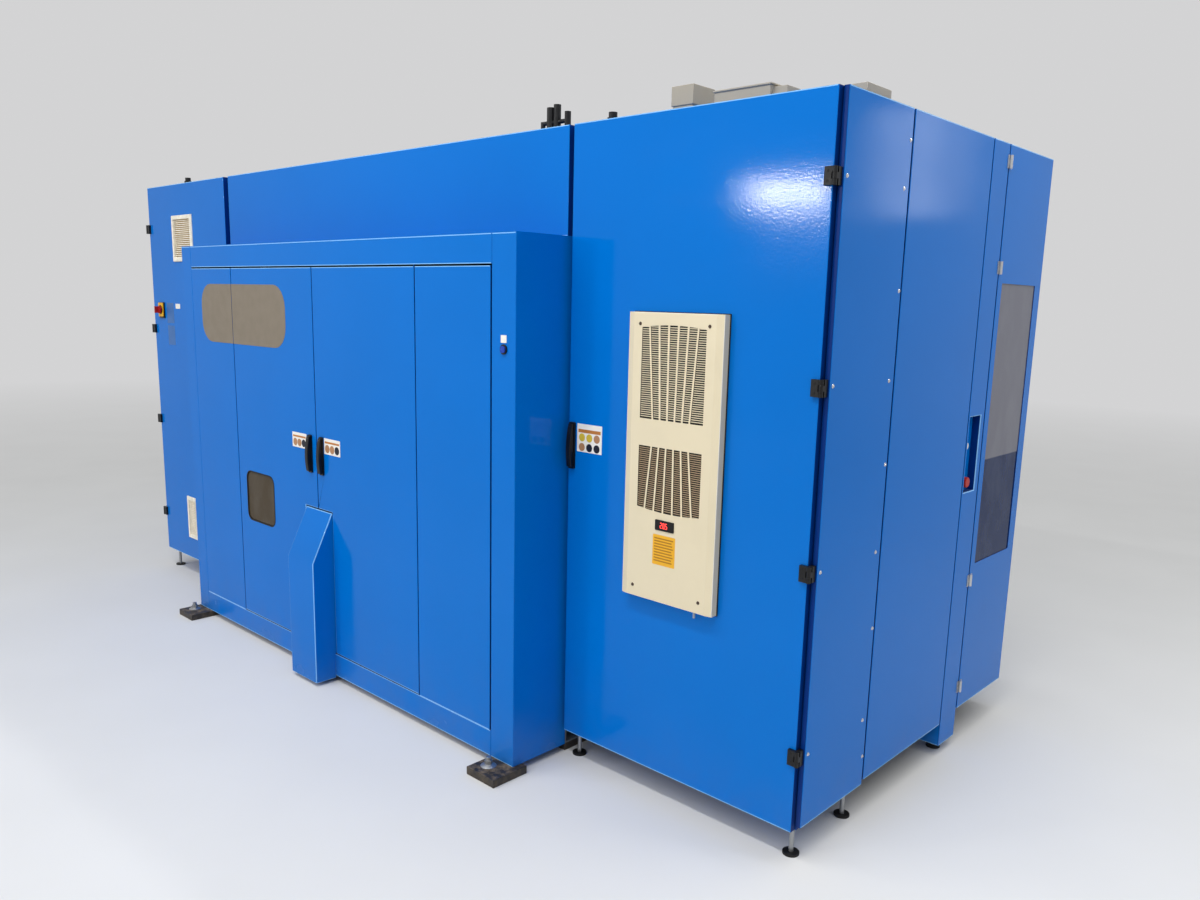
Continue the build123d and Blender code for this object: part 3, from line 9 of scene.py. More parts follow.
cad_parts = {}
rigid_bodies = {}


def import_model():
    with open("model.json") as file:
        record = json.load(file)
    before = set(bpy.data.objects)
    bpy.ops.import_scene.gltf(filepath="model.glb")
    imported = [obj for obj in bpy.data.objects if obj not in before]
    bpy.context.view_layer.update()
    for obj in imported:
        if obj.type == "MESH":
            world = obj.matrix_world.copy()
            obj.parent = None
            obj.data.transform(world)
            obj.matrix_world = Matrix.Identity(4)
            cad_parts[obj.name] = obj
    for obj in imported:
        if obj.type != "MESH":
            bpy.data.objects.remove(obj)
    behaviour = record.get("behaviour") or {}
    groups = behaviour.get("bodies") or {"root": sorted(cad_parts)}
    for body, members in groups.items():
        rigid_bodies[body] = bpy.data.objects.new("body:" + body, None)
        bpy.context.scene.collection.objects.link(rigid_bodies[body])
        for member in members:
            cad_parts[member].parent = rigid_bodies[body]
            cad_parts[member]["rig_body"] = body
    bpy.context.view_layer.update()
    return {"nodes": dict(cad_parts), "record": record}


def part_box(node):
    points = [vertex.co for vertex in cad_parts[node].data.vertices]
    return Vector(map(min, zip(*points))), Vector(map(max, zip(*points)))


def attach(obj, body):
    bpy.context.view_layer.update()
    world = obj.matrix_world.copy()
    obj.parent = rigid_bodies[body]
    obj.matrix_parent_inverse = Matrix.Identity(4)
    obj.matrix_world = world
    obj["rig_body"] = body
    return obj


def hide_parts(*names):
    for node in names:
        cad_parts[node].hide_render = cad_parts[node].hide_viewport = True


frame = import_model()

bl_info = {
    "name": "Panel Bender Dressing",
    "version": (1, 0, 0),
    "blender": (4, 5, 0),
    "location": "3D View > Sidebar > Bender",
    "description": "Dresses the panel bender: paint, panels, cooling unit, handles, signs and the studio",
    "category": "Object",
}

MM = 0.001
SERVICE = Vector((0, -1, 0))
END = Vector((1, 0, 0))
UP = Vector((0, 0, 1))
SEAM_HALF = 2.25 * MM
HINGE_HEIGHTS = (0.356, 0.938, 1.484, 2.063)
DUST_HEIGHT = 0.45
FOLD_ANGLE, FOLD_LENGTH, FOLD_BREADTH = 0.7, 60 * MM, 9 * MM
OUTLINE_ANGLE, OUTLINE_LENGTH = 0.5, 0.3
CORNER_ANGLE = math.radians(40.0)
SEAM_DEPTH = 45 * MM

# The photograph's camera: turns in radians, lens in mm, place from the foot of the right cabinet's corner
PHOTO_TURNS = (-0.7439, 0.1823, 0.0251)
PHOTO_LENS = 28.27
PHOTO_SHIFT = (-0.0066, 0.0209)
PHOTO_PLACE = Vector((1.3694, -2.3699, 1.7118))

body_of = {node: piece["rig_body"] for node, piece in frame["nodes"].items()}
slot_of = {part["node"]: part["material_slot"] for part in frame["record"]["subparts"]}


# Colours and sizes that a user would change

def screen_colour(red, green, blue):
    """The linear value of a colour given as it looks on a screen, from 0 to 255."""
    return tuple((channel / 255) ** 2.2 for channel in (red, green, blue))


SEEN_AIR = screen_colour(210, 210, 211)


class HousingColours(bpy.types.PropertyGroup):
    """Colours of the housing's finishes."""
    housing: FloatVectorProperty(
        name="Housing", description="Powder coat of doors, panels and bay", subtype="COLOR", size=3,
        default=screen_colour(2, 110, 200), min=0, max=1,
    )
    # Painted shade: this darker blue on the seams' narrow flanges and on the cabinet cases' sides stands in
    # for the shade in the seams.
    seam_shade_colour: FloatVectorProperty(
        name="Seams", description="Shaded coat on the narrow flanges in the seams", subtype="COLOR", size=3,
        default=screen_colour(3, 50, 118), min=0, max=1,
    )
    cooler: FloatVectorProperty(
        name="Cooling unit", description="Textured cream coat of the cooling unit", subtype="COLOR", size=3,
        default=screen_colour(222, 209, 178), min=0, max=1,
    )
    frame_grey: FloatVectorProperty(
        name="Press frame", description="Machine grey inside the housing", subtype="COLOR", size=3,
        default=screen_colour(112, 118, 124), min=0, max=1,
    )
    plate_taupe: FloatVectorProperty(
        name="Side plate", description="The rounded plate on the service leaves", subtype="COLOR", size=3,
        default=screen_colour(126, 116, 102), min=0, max=1,
    )


class HousingSizes(bpy.types.PropertyGroup):
    """Sizes of the folds and of the small parts."""
    fold: FloatProperty(
        name="Fold radius", description="Rounding of folded sheet edges", subtype="DISTANCE", unit="LENGTH",
        default=3 * MM, min=0.0, max=5 * MM,
    )
    edge: FloatProperty(
        name="Edge rounding", description="Rounding of cut sheet edges", subtype="DISTANCE", unit="LENGTH",
        default=0.8 * MM, min=0.0, max=1 * MM,
    )
    screw_radius: FloatProperty(
        name="Screw radius", description="Button heads on the end panels", subtype="DISTANCE", unit="LENGTH",
        default=6.5 * MM, min=2 * MM, max=12 * MM,
    )
    peel: FloatProperty(
        name="Orange peel", description="Strength of the coat's fine ripple", default=0.3, min=0, max=1,
    )
    sway: FloatProperty(
        name="Panel sway", description="How much large panels bow in the light", default=0.25, min=0, max=1,
    )


# Shader nodes written as Python expressions

class Wire:
    """One socket of a material, with operators that add its Math nodes."""

    def __init__(self, recipe, socket):
        self.recipe = recipe
        self.socket = socket

    def maths(self, operation, *others):
        """The result of one Math node on this socket and other values."""
        sockets = {0: self, **dict(enumerate(others, 1))}
        return self.recipe.add("ShaderNodeMath", {"operation": operation}, sockets)

    def __add__(self, other):
        return self.maths("ADD", other)

    def __mul__(self, other):
        return self.maths("MULTIPLY", other)

    def power(self, other):
        """This value to a power."""
        return self.maths("POWER", other)

    def ramp(self, start, end, low=0.0, high=1.0):
        """A clamped change from low to high while this value goes from start to end."""
        return self.recipe.add(
            "ShaderNodeMapRange", {"clamp": True},
            {"Value": self, "From Min": start, "From Max": end, "To Min": low, "To Max": high},
        )


class Recipe:
    """One material or world and its nodes."""

    def __init__(self, name, world=None):
        self.owner = world or bpy.data.materials.new(name)
        self.owner.use_nodes = True
        self.tree = self.owner.node_tree
        self.tree.nodes.clear()

    def add(self, kind, settings=None, sockets=None, out=0):
        """One node: its settings are set first, then its sockets are filled or linked."""
        node = self.tree.nodes.new(kind)
        for name, value in (settings or {}).items():
            setattr(node, name, value)
        for key, value in (sockets or {}).items():
            if isinstance(value, Wire):
                self.tree.links.new(value.socket, node.inputs[key])
            else:
                node.inputs[key].default_value = value
        return Wire(self, node.outputs[out])

    def place(self):
        """The point on the piece, in metres of the object's frame."""
        return self.add("ShaderNodeTexCoord", out="Object")

    def stretched(self, place, scale):
        """The same point with each axis scaled."""
        return self.add("ShaderNodeMapping", None, {"Vector": place, "Scale": scale})

    def facing_up(self):
        """How far the surface looks upward, from 0 to 1."""
        return self.axes(self.add("ShaderNodeNewGeometry", out="Normal"))[2].ramp(0.7, 0.95)

    def axes(self, place):
        """The three coordinates of a point."""
        split = self.add("ShaderNodeSeparateXYZ", None, {"Vector": place})
        outputs = split.socket.node.outputs
        return tuple(Wire(self, outputs[axis]) for axis in range(3))

    def noise(self, place, scale, detail=2.0, roughness=0.5):
        """Soft noise between about 0.2 and 0.8."""
        return self.add(
            "ShaderNodeTexNoise", None,
            {"Vector": place, "Scale": scale, "Detail": detail, "Roughness": roughness}, out="Fac",
        )

    def mix(self, factor, first, second):
        """A blend of two colours."""
        colours = {6: self.coloured(first), 7: self.coloured(second)}
        return self.add("ShaderNodeMix", {"data_type": "RGBA"}, {0: factor, **colours}, out=2)

    def coloured(self, value):
        """A colour with its alpha, or a wire as it is."""
        return value if isinstance(value, Wire) else (*value, 1.0)

    def bump(self, height, strength, distance, normal=None):
        """A bump that may lie on another one."""
        sockets = {"Height": height, "Strength": strength, "Distance": distance}
        if normal is not None:
            sockets["Normal"] = normal
        return self.add("ShaderNodeBump", None, sockets)

    def shade(self, **inputs):
        """The main shader on the output, with its sockets by name, and the finished material."""
        sockets = {name.replace("_", " "): value for name, value in inputs.items()}
        for name in ("Base Color", "Emission Color"):
            if name in sockets:
                sockets[name] = self.coloured(sockets[name])
        shader = self.add("ShaderNodeBsdfPrincipled", None, sockets)
        self.add_output(shader)
        return self.owner

    def seen_rays(self):
        """One for rays that the camera, a mirror or a clear pane sends out."""
        outputs = self.add("ShaderNodeLightPath").socket.node.outputs
        kinds = ("Camera", "Glossy", "Transmission")
        camera, mirror, clear = (Wire(self, outputs[f"Is {kind} Ray"]) for kind in kinds)
        return camera.maths("MAXIMUM", mirror).maths("MAXIMUM", clear)

    def add_output(self, shader, kind="ShaderNodeOutputMaterial"):
        """The output node, with the shader on its surface."""
        node = self.tree.nodes.new(kind)
        self.tree.links.new(shader.socket, node.inputs["Surface"])


# Finishes

def darker(colour, share):
    """A colour with every channel scaled."""
    return tuple(channel * share for channel in colour)


def powder_coat(name, colour, peel, sway, gloss=0.06, shine=0.13):
    """Glossy powder coat: fine ripple, slow sway of large panels, wiped patches, dust low down and on top."""
    recipe = Recipe(name)
    place = recipe.place()
    height = recipe.axes(place)[2]
    ripple = recipe.bump(recipe.noise(place, 150.0, 1.0), peel, 0.0004)
    slow = recipe.stretched(place, (1.0, 1.0, 0.55))
    normal = recipe.bump(recipe.noise(slow, 1.7, 0.6), sway, 0.010, ripple)
    patches = recipe.noise(place, 2.3, 2.0)
    wiped = recipe.noise(recipe.stretched(place, (0.8, 0.8, 2.5)), 3.0, 2.0).ramp(0.45, 0.75)
    settled = recipe.noise(place, 6.0, 3.0, 0.55).ramp(0.3, 0.8)
    low_dust = height.ramp(DUST_HEIGHT, 0.0).power(2.0) * settled
    dust = low_dust + recipe.facing_up() * settled.ramp(0.0, 1.0, 0.3, 0.9)
    base = recipe.mix(patches.ramp(0.3, 0.7, 0.0, 0.35), colour, darker(colour, 0.88))
    base = recipe.mix(dust * 0.28, base, screen_colour(104, 104, 102))
    return recipe.shade(
        Base_Color=base,
        Roughness=patches.ramp(0.3, 0.7, gloss, gloss + 0.06) + wiped * 0.04 + dust * 0.35,
        Normal=normal,
        Specular_IOR_Level=shine,
    )


def textured_coat(name, colour):
    """The cooling unit's fine-textured coat."""
    recipe = Recipe(name)
    place = recipe.place()
    grain = recipe.noise(place, 700.0, 2.0)
    stains = recipe.noise(place, 6.0, 4.0, 0.6)
    base = recipe.mix(stains.ramp(0.45, 0.8, 0.0, 0.4), colour, darker(colour, 0.88))
    return recipe.shade(
        Base_Color=base,
        Roughness=stains.ramp(0.3, 0.7, 0.38, 0.5),
        Normal=recipe.bump(grain, 0.25, 0.0003),
    )


def moulded(name, colour, roughness=0.42, grain=0.15):
    """Moulded plastic with a fine grain and slightly uneven gloss."""
    recipe = Recipe(name)
    place = recipe.place()
    handled = recipe.noise(place, 35.0, 3.0)
    return recipe.shade(
        Base_Color=recipe.mix(handled.ramp(0.4, 0.7), colour, tuple(c * 1.25 + 0.004 for c in colour)),
        Roughness=handled.ramp(0.3, 0.7, roughness - 0.06, roughness + 0.10),
        Normal=recipe.bump(recipe.noise(place, 900.0, 2.0), grain, 0.0002),
        Specular_IOR_Level=0.35,
    )


def milled_steel(name, colour, roughness=0.3, along=(1.0, 60.0, 60.0)):
    """Bare steel with fine marks in one direction."""
    recipe = Recipe(name)
    place = recipe.place()
    marks = recipe.noise(recipe.stretched(place, along), 12.0, 4.0)
    stains = recipe.noise(place, 5.0, 4.0)
    return recipe.shade(
        Base_Color=recipe.mix(stains.ramp(0.4, 0.75), colour, darker(colour, 0.8)),
        Metallic=0.9,
        Roughness=marks.ramp(0.3, 0.7, roughness - 0.06, roughness + 0.12),
        Normal=recipe.bump(marks, 0.12, 0.0003),
    )


def dark_scale(name):
    """Dark mill scale on the floor plates, with worn rusty patches."""
    recipe = Recipe(name)
    place = recipe.place()
    wear = recipe.noise(place, 22.0, 6.0, 0.7)
    return recipe.shade(
        Base_Color=recipe.mix(
            wear.ramp(0.45, 0.62) * recipe.facing_up().ramp(0.0, 1.0, 0.35, 1.0),
            screen_colour(46, 42, 38), screen_colour(118, 104, 86),
        ),
        Metallic=0.1,
        Roughness=wear.ramp(0.4, 0.7, 0.45, 0.75),
        Normal=recipe.bump(wear, 0.4, 0.001),
    )


def zinc(name):
    """Galvanised sheet with its spangle."""
    recipe = Recipe(name)
    place = recipe.place()
    spangle = recipe.add("ShaderNodeTexVoronoi", None, {"Vector": place, "Scale": 55.0}, out="Color")
    tone = recipe.axes(spangle)[0]
    return recipe.shade(
        Base_Color=recipe.mix(tone * 0.5, screen_colour(176, 180, 184), screen_colour(150, 154, 158)),
        Metallic=0.85,
        Roughness=tone.ramp(0.0, 1.0, 0.32, 0.48),
    )


def pane(name, colour, alpha, roughness=0.06, below=None, border=0.0):
    """A plastic pane with faint dust and wiping marks, and another tone below a border height; on the end
    door the upper tone is a painted reflection and the lower one a painted dark view inside.
    """
    recipe = Recipe(name)
    place = recipe.place()
    dust = recipe.noise(recipe.stretched(place, (1.0, 1.0, 0.5)), 9.0, 5.0, 0.65).ramp(0.45, 0.8)
    tone = colour
    if below:
        tone = recipe.mix(recipe.axes(place)[2].ramp(border - 2 * MM, border + 2 * MM), below, colour)
    return recipe.shade(
        Base_Color=recipe.mix(dust * 0.10, tone, screen_colour(150, 152, 150)),
        Roughness=dust * 0.15 + roughness,
        Alpha=dust * 0.08 + alpha,
        Specular_IOR_Level=0.1,
    )


def lit_digit(name, colour):
    """A glowing display segment."""
    recipe = Recipe(name)
    return recipe.shade(
        Base_Color=darker(colour, 0.5), Emission_Color=colour, Emission_Strength=2.5, Roughness=0.4,
    )


def printed(name, colour, roughness=0.35):
    """A printed film or plate with faint handling marks."""
    recipe = Recipe(name)
    place = recipe.place()
    marks = recipe.noise(place, 18.0, 3.0)
    return recipe.shade(
        Base_Color=recipe.mix(marks.ramp(0.35, 0.8) * 0.4, colour, darker(colour, 0.86)),
        Roughness=marks.ramp(0.3, 0.7, roughness, roughness + 0.12),
        Normal=recipe.bump(recipe.noise(place, 500.0, 1.0), 0.04, 0.0002),
        Specular_IOR_Level=0.3,
    )


def filter_mat(name):
    """The pale brown filter mat behind the vents' blades."""
    recipe = Recipe(name)
    fibres = recipe.noise(recipe.place(), 260.0, 4.0, 0.7)
    pale, brown = screen_colour(214, 184, 128), screen_colour(170, 138, 90)
    return recipe.shade(
        Base_Color=recipe.mix(fibres.ramp(0.35, 0.65), pale, brown),
        Roughness=0.9,
        Normal=recipe.bump(fibres, 0.5, 0.001),
    )


def device_wall(name):
    """Grey device fronts with a fine grain."""
    recipe = Recipe(name)
    grain = recipe.noise(recipe.place(), 60.0, 2.0)
    base = recipe.mix(grain.ramp(0.3, 0.7), screen_colour(150, 154, 158), screen_colour(142, 146, 150))
    return recipe.shade(Base_Color=base, Roughness=0.5, Normal=recipe.bump(grain, 0.1, 0.0005))


FILM_TONES = {
    "white_film": (238, 234, 226), "orange_band": (184, 118, 58), "yellow_mark": (206, 180, 62),
    "dark_mark": (30, 32, 44), "grey_mark": (172, 126, 90), "yellow_film": (232, 172, 44),
    "yellow_rule": (168, 118, 30),
}
finishes = {}


def make_finishes(colours, sizes):
    """Every finish by the record's slot, and the extra ones by their own name."""
    pane_low, pane_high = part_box("end_door_pane")
    reflection_border = pane_low.z + 0.385 * (pane_high.z - pane_low.z)
    finishes.update({
        "blue_paint": powder_coat("housing_blue", tuple(colours.housing), sizes.peel, sizes.sway),
        # Painted highlight: this lighter blue on the fold bevels stands in for glints of light along the
        # folded edges.
        "fold_glint_blue": powder_coat("fold_glint_blue", screen_colour(122, 188, 246), 0.05, 0.0, 0.12, 0.8),
        # Painted shade: the darker coat for seam flanges and the cases' sides.
        "seam_shade_blue": powder_coat("seam_shade_blue", tuple(colours.seam_shade_colour), 0.05, 0.0, 0.3, 0.1),
        "cream_paint": textured_coat("cooler_cream", tuple(colours.cooler)),
        "frame_paint": powder_coat("frame_grey", tuple(colours.frame_grey), 0.3, 0.0, 0.45, 0.26),
        "galvanised": zinc("zinc_sheet"),
        "bare_steel": milled_steel("ground_steel", screen_colour(168, 170, 172), 0.34),
        "bright_steel": milled_steel("bright_steel", screen_colour(205, 206, 208), 0.22, (60.0, 60.0, 1.0)),
        "dark_steel": dark_scale("dark_scale"),
        "black_plastic": moulded("black_plastic", screen_colour(15, 15, 17), 0.38),
        "grey_plastic": device_wall("device_fronts"),
        "white_plastic": moulded("white_plastic", screen_colour(226, 220, 204), 0.4),
        "yellow_plastic": moulded("yellow_plastic", screen_colour(226, 168, 24), 0.4),
        "red_plastic": moulded("red_plastic", screen_colour(158, 26, 20), 0.28, 0.05),
        "blue_plastic": moulded("blue_plastic", screen_colour(14, 58, 150), 0.2, 0.05),
        "display_black": moulded("display_black", screen_colour(14, 12, 14), 0.15, 0.0),
        "smoked_glass": pane("smoked_pane", screen_colour(74, 64, 50), 0.93),
        # Painted reflection and shade: the end door's pane is pale grey above the border as a painted
        # reflection, and dark blue below as a painted dark view into the machine.
        "clear_glass": pane(
            "end_pane", screen_colour(116, 117, 128), 0.96, 0.08, screen_colour(16, 42, 84), reflection_border,
        ),
        "box_beige": textured_coat("box_beige", screen_colour(162, 154, 138)),
        # Painted shade: near-black on the cooler's slot walls, body and fans stands in for the shade inside
        # the grilles.
        "cooler_shade_black": moulded("cooler_shade_black", screen_colour(20, 16, 14), 0.6, 0.1),
        # A darker cream on the sunk slats of the lower grille.
        "lower_slat_cream": textured_coat("lower_slat_cream", screen_colour(170, 148, 118)),
        # Painted highlight: a lighter cream on the cooling unit cover's rounded outline.
        "cream_fold_glint": textured_coat("cream_fold_glint", screen_colour(244, 238, 222)),
        "drain_tube": moulded("drain_tube", screen_colour(150, 158, 168), 0.3, 0.0),
        "rubber": moulded("rubber_gasket", screen_colour(20, 20, 20), 0.6, 0.3),
        "dark_screw": moulded("dark_screw", screen_colour(64, 48, 38), 0.45, 0.1),
        "vent_filter": filter_mat("vent_filter"),
        "taupe_plate": printed("taupe_plate", tuple(colours.plate_taupe), 0.38),
        **{name: printed(name, screen_colour(*tone)) for name, tone in FILM_TONES.items()},
        "faint_film": printed("faint_film", screen_colour(52, 104, 168), 0.3),
        "digit_red": lit_digit("digit_red", (1.0, 0.05, 0.04)),
    })


# Mesh tools

def edges_of(verts):
    """Every edge that touches these vertices."""
    return list({edge for vert in verts for edge in vert.link_edges})


def round_edges(bm, edges, width, segments=2):
    """Rounds the given edges."""
    bmesh.ops.bevel(
        bm, geom=edges, offset=width, offset_type="OFFSET", affect="EDGES",
        segments=segments, profile=0.5, material=-1,
    )


def box_form(bm, low, high, round_off=0.0, segments=2):
    """A box between two corners, with rounded edges if asked, and its first vertices."""
    low, high = Vector(low), Vector(high)
    verts = bmesh.ops.create_cube(bm, size=1.0)["verts"]
    bmesh.ops.scale(bm, vec=high - low, verts=verts)
    bmesh.ops.translate(bm, vec=(low + high) / 2, verts=verts)
    if round_off:
        round_edges(bm, edges_of(verts), round_off, segments)
    return verts


def plate_form(bm, low, high, facing, corner):
    """A flat plate with round corners whose face looks along facing."""
    verts = box_form(bm, low, high)
    through = [
        edge for edge in edges_of(verts)
        if abs((edge.verts[0].co - edge.verts[1].co).normalized().dot(facing)) > 0.9
    ]
    round_edges(bm, through, corner, 6)


def frame_form(bm, low, high, facing, corner, band):
    """A round-cornered frame: a plate with its middle cut out, band wide."""
    plate_form(bm, low, high, facing, corner)
    bm.normal_update()
    flat = [face for face in bm.faces if abs(face.normal.dot(facing)) > 0.9]
    bmesh.ops.inset_region(bm, faces=flat, thickness=band, use_even_offset=True)
    rims = list({edge for face in flat for edge in face.edges})
    bmesh.ops.delete(bm, geom=flat, context="FACES_ONLY")
    bmesh.ops.bridge_loops(bm, edges=rims)


def disc_form(bm, centre, radius, height, facing, crown=0.0, sides=24):
    """A round head on a surface point, with a crowned rim."""
    made = bmesh.ops.create_cone(
        bm, cap_ends=True, cap_tris=False, segments=sides,
        radius1=radius, radius2=radius - crown, depth=height,
    )["verts"]
    bmesh.ops.translate(bm, vec=(0, 0, height / 2), verts=made)
    turn = UP.rotation_difference(facing).to_matrix()
    bmesh.ops.rotate(bm, cent=(0, 0, 0), matrix=turn, verts=made)
    bmesh.ops.translate(bm, vec=centre, verts=made)


def ring_form(bm, centre, outer, inner, height, facing, sides=32):
    """A flat ring on a surface point, spun from its section."""
    known = set(bm.verts)
    corners = ((inner, 0), (outer, 0), (outer, height * 0.6), (outer - height * 0.4, height), (inner, height))
    verts = [bm.verts.new((x, 0, z)) for x, z in corners]
    section = [bm.edges.new((vert, verts[number - 1])) for number, vert in enumerate(verts)]
    bmesh.ops.spin(
        bm, geom=verts + section, cent=(0, 0, 0), axis=UP, angle=math.tau, steps=sides,
        use_merge=True, use_duplicate=False,
    )
    turn = UP.rotation_difference(facing).to_matrix().to_4x4()
    made = [vert for vert in bm.verts if vert not in known]
    bmesh.ops.transform(bm, matrix=Matrix.Translation(centre) @ turn, verts=made)


def finish_piece(bm, name, finish, body, tidy=True, crisp=32.0):
    """Turns a bmesh into a named piece that rides on a body, with folds sharper than crisp kept sharp."""
    if tidy:
        bmesh.ops.recalc_face_normals(bm, faces=bm.faces)
    mesh = bpy.data.meshes.new(name)
    bm.to_mesh(mesh)
    bm.free()
    mesh.polygons.foreach_set("use_smooth", [True] * len(mesh.polygons))
    mesh.set_sharp_from_angle(angle=math.radians(crisp))
    piece = bpy.data.objects.new(name, mesh)
    bpy.context.scene.collection.objects.link(piece)
    mesh.materials.append(finishes[finish])
    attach(piece, body)
    return piece


def film(name, finish, body, low, high, corner=2 * MM):
    """A thin plate with round corners on the service side, as a piece."""
    bm = bmesh.new()
    plate_form(bm, low, high, SERVICE, corner)
    finish_piece(bm, name, finish, body)


def merged_copy(node):
    """A bmesh of a CAD node with its loose triangles merged into faces."""
    bm = bmesh.new()
    bm.from_mesh(frame["nodes"][node].data)
    bmesh.ops.remove_doubles(bm, verts=bm.verts, dist=1e-5)
    bmesh.ops.dissolve_limit(bm, angle_limit=math.radians(1.0), verts=bm.verts, edges=bm.edges)
    bm.normal_update()
    return bm


def sort_faces(bm, others):
    """Gives each face the number of the first test that it passes, or 0."""
    for face in bm.faces:
        for number, (_, belongs) in enumerate(others, 1):
            if belongs(face):
                face.material_index = number
                break


def outer_folds(bm):
    """The long outer edges between two wide faces, where sheet is folded."""
    def breadth(face):
        return face.calc_area() / max(edge.calc_length() for edge in face.edges)

    def is_fold(edge):
        if len(edge.link_faces) != 2 or not edge.is_convex or edge.calc_face_angle() < FOLD_ANGLE:
            return False
        return edge.calc_length() > FOLD_LENGTH and min(map(breadth, edge.link_faces)) > FOLD_BREADTH
    return [edge for edge in bm.edges if is_fold(edge)]


def formed_copy(node, width, finish=None, segments=2, others=(), fold=None, fold_radius=0.0):
    """Stands a rounded copy in for a CAD node, with some faces and the folds in other finishes, such as a
    lighter coat on the folds as a painted highlight.
    """
    bm = merged_copy(node)
    sort_faces(bm, others)
    if fold:
        bmesh.ops.bevel(
            bm, geom=outer_folds(bm), offset=fold_radius, offset_type="OFFSET", affect="EDGES",
            segments=3, profile=0.5, material=len(others) + 1,
        )
    piece = finish_piece(bm, node + "_formed", finish or slot_of[node], body_of[node], tidy=False)
    for other in [name for name, _ in others] + ([fold] if fold else []):
        piece.data.materials.append(finishes[other])
    rounding = piece.modifiers.new("rounded edges", "BEVEL")
    rounding.width = width
    rounding.segments = segments
    rounding.limit_method = "ANGLE"
    rounding.angle_limit = CORNER_ANGLE
    weighing = piece.modifiers.new("flat faces", "WEIGHTED_NORMAL")
    weighing.keep_sharp = True
    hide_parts(node)


# The cooler's body and fans are coated near-black as painted shade, seen through the grilles.
OWN_FINISH = {
    "cooler_body": "cooler_shade_black", "upper_fan": "cooler_shade_black", "lower_fan": "cooler_shade_black",
}


def coat_nodes(nodes):
    """Gives CAD nodes the finish of their slot, or their own."""
    for node in nodes:
        piece = frame["nodes"][node]
        piece.data.materials.clear()
        piece.data.materials.append(finishes[OWN_FINISH.get(node, slot_of[node])])


class DressingOperator:
    """What every dressing step shares."""
    bl_options = {"REGISTER", "UNDO"}

    def done(self):
        return {"FINISHED"}


# Housing panels

FORMED_PANELS = (
    "right_door", "left_door", "rear_wall", "bay_corner_left", "bay_corner_right", "bay_top_rail",
    "bay_bottom_rail", "bay_side_panels", "left_leaf", "right_leaf", "floor_hood", "end_panel_front",
    "end_panel_middle", "end_post", "end_door", "left_end_panels", "operator_panels",
)


class BENDER_OT_finishes(DressingOperator, bpy.types.Operator):
    """Mix the paints and coat every carried-over node"""
    bl_idname = "bender.finishes"
    bl_label = "Finishes"

    def execute(self, context):
        scene = context.scene
        make_finishes(scene.bender_colours, scene.bender_sizes)
        coat_nodes(frame["nodes"])
        return self.done()


class BENDER_OT_panels(DressingOperator, bpy.types.Operator):
    """Round the folds of the housing's panels, doors and leaves, with a painted highlight on the folds and
    painted shade in the seams
    """
    bl_idname = "bender.panels"
    bl_label = "Housing Panels"

    def execute(self, context):
        sizes = context.scene.bender_sizes
        clear = 0.5 * MM
        door_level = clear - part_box("rear_wall")[0].y
        bay_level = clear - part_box("bay_top_rail")[0].y
        proud = {
            "right_leaf": ("black_plastic", SERVICE, bay_level),
            "left_leaf": ("black_plastic", SERVICE, bay_level),
            "right_door": ("black_plastic", SERVICE, door_level),
            "left_door": ("black_plastic", SERVICE, door_level),
            "end_door": ("bright_steel", END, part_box("end_panel_middle")[1].x + clear),
        }
        facings = {"left_end_panels": -END, "operator_panels": -SERVICE}
        for node in FORMED_PANELS:
            facing = END if node.startswith("end_") else facings.get(node, SERVICE)
            outer = math.inf
            if node.startswith(("bay_corner", "operator")):
                outer = max(abs(corner.x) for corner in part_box(node))
            others = [("seam_shade_blue", self.groove_test(facing, outer))]
            if node in proud:
                finish, side, level = proud[node]
                others.insert(0, (finish, self.proud_test(side, level)))
            rounding = 0.1 * MM if node.startswith("bay_corner") else sizes.edge
            formed_copy(node, rounding, others=others, fold="fold_glint_blue", fold_radius=sizes.fold)
        # The cabinet cases' sides, seen through the seams, get the darker coat as painted shade.
        for node in ("left_cabinet_case", "right_cabinet_case"):
            formed_copy(node, sizes.edge, others=[("seam_shade_blue", lambda face: abs(face.normal.z) < 0.5)])
        return self.done()

    def proud_test(self, facing, level):
        """Tells the faces that stand out beyond the panels: handle dishes and hinge leaves."""
        return lambda face: face.calc_center_median().dot(facing) > level

    def groove_test(self, facing, outer):
        """Tells the narrow faces that lie in the seams, and not on the outer side; they get the darker coat
        as painted shade.
        """
        def is_groove(face):
            reach = [vert.co.dot(facing) for vert in face.verts]
            narrow = abs(face.normal.dot(facing)) < 0.5 and max(reach) - min(reach) < SEAM_DEPTH
            return narrow and abs(abs(face.calc_center_median().x) - outer) > 3 * MM
        return is_groove


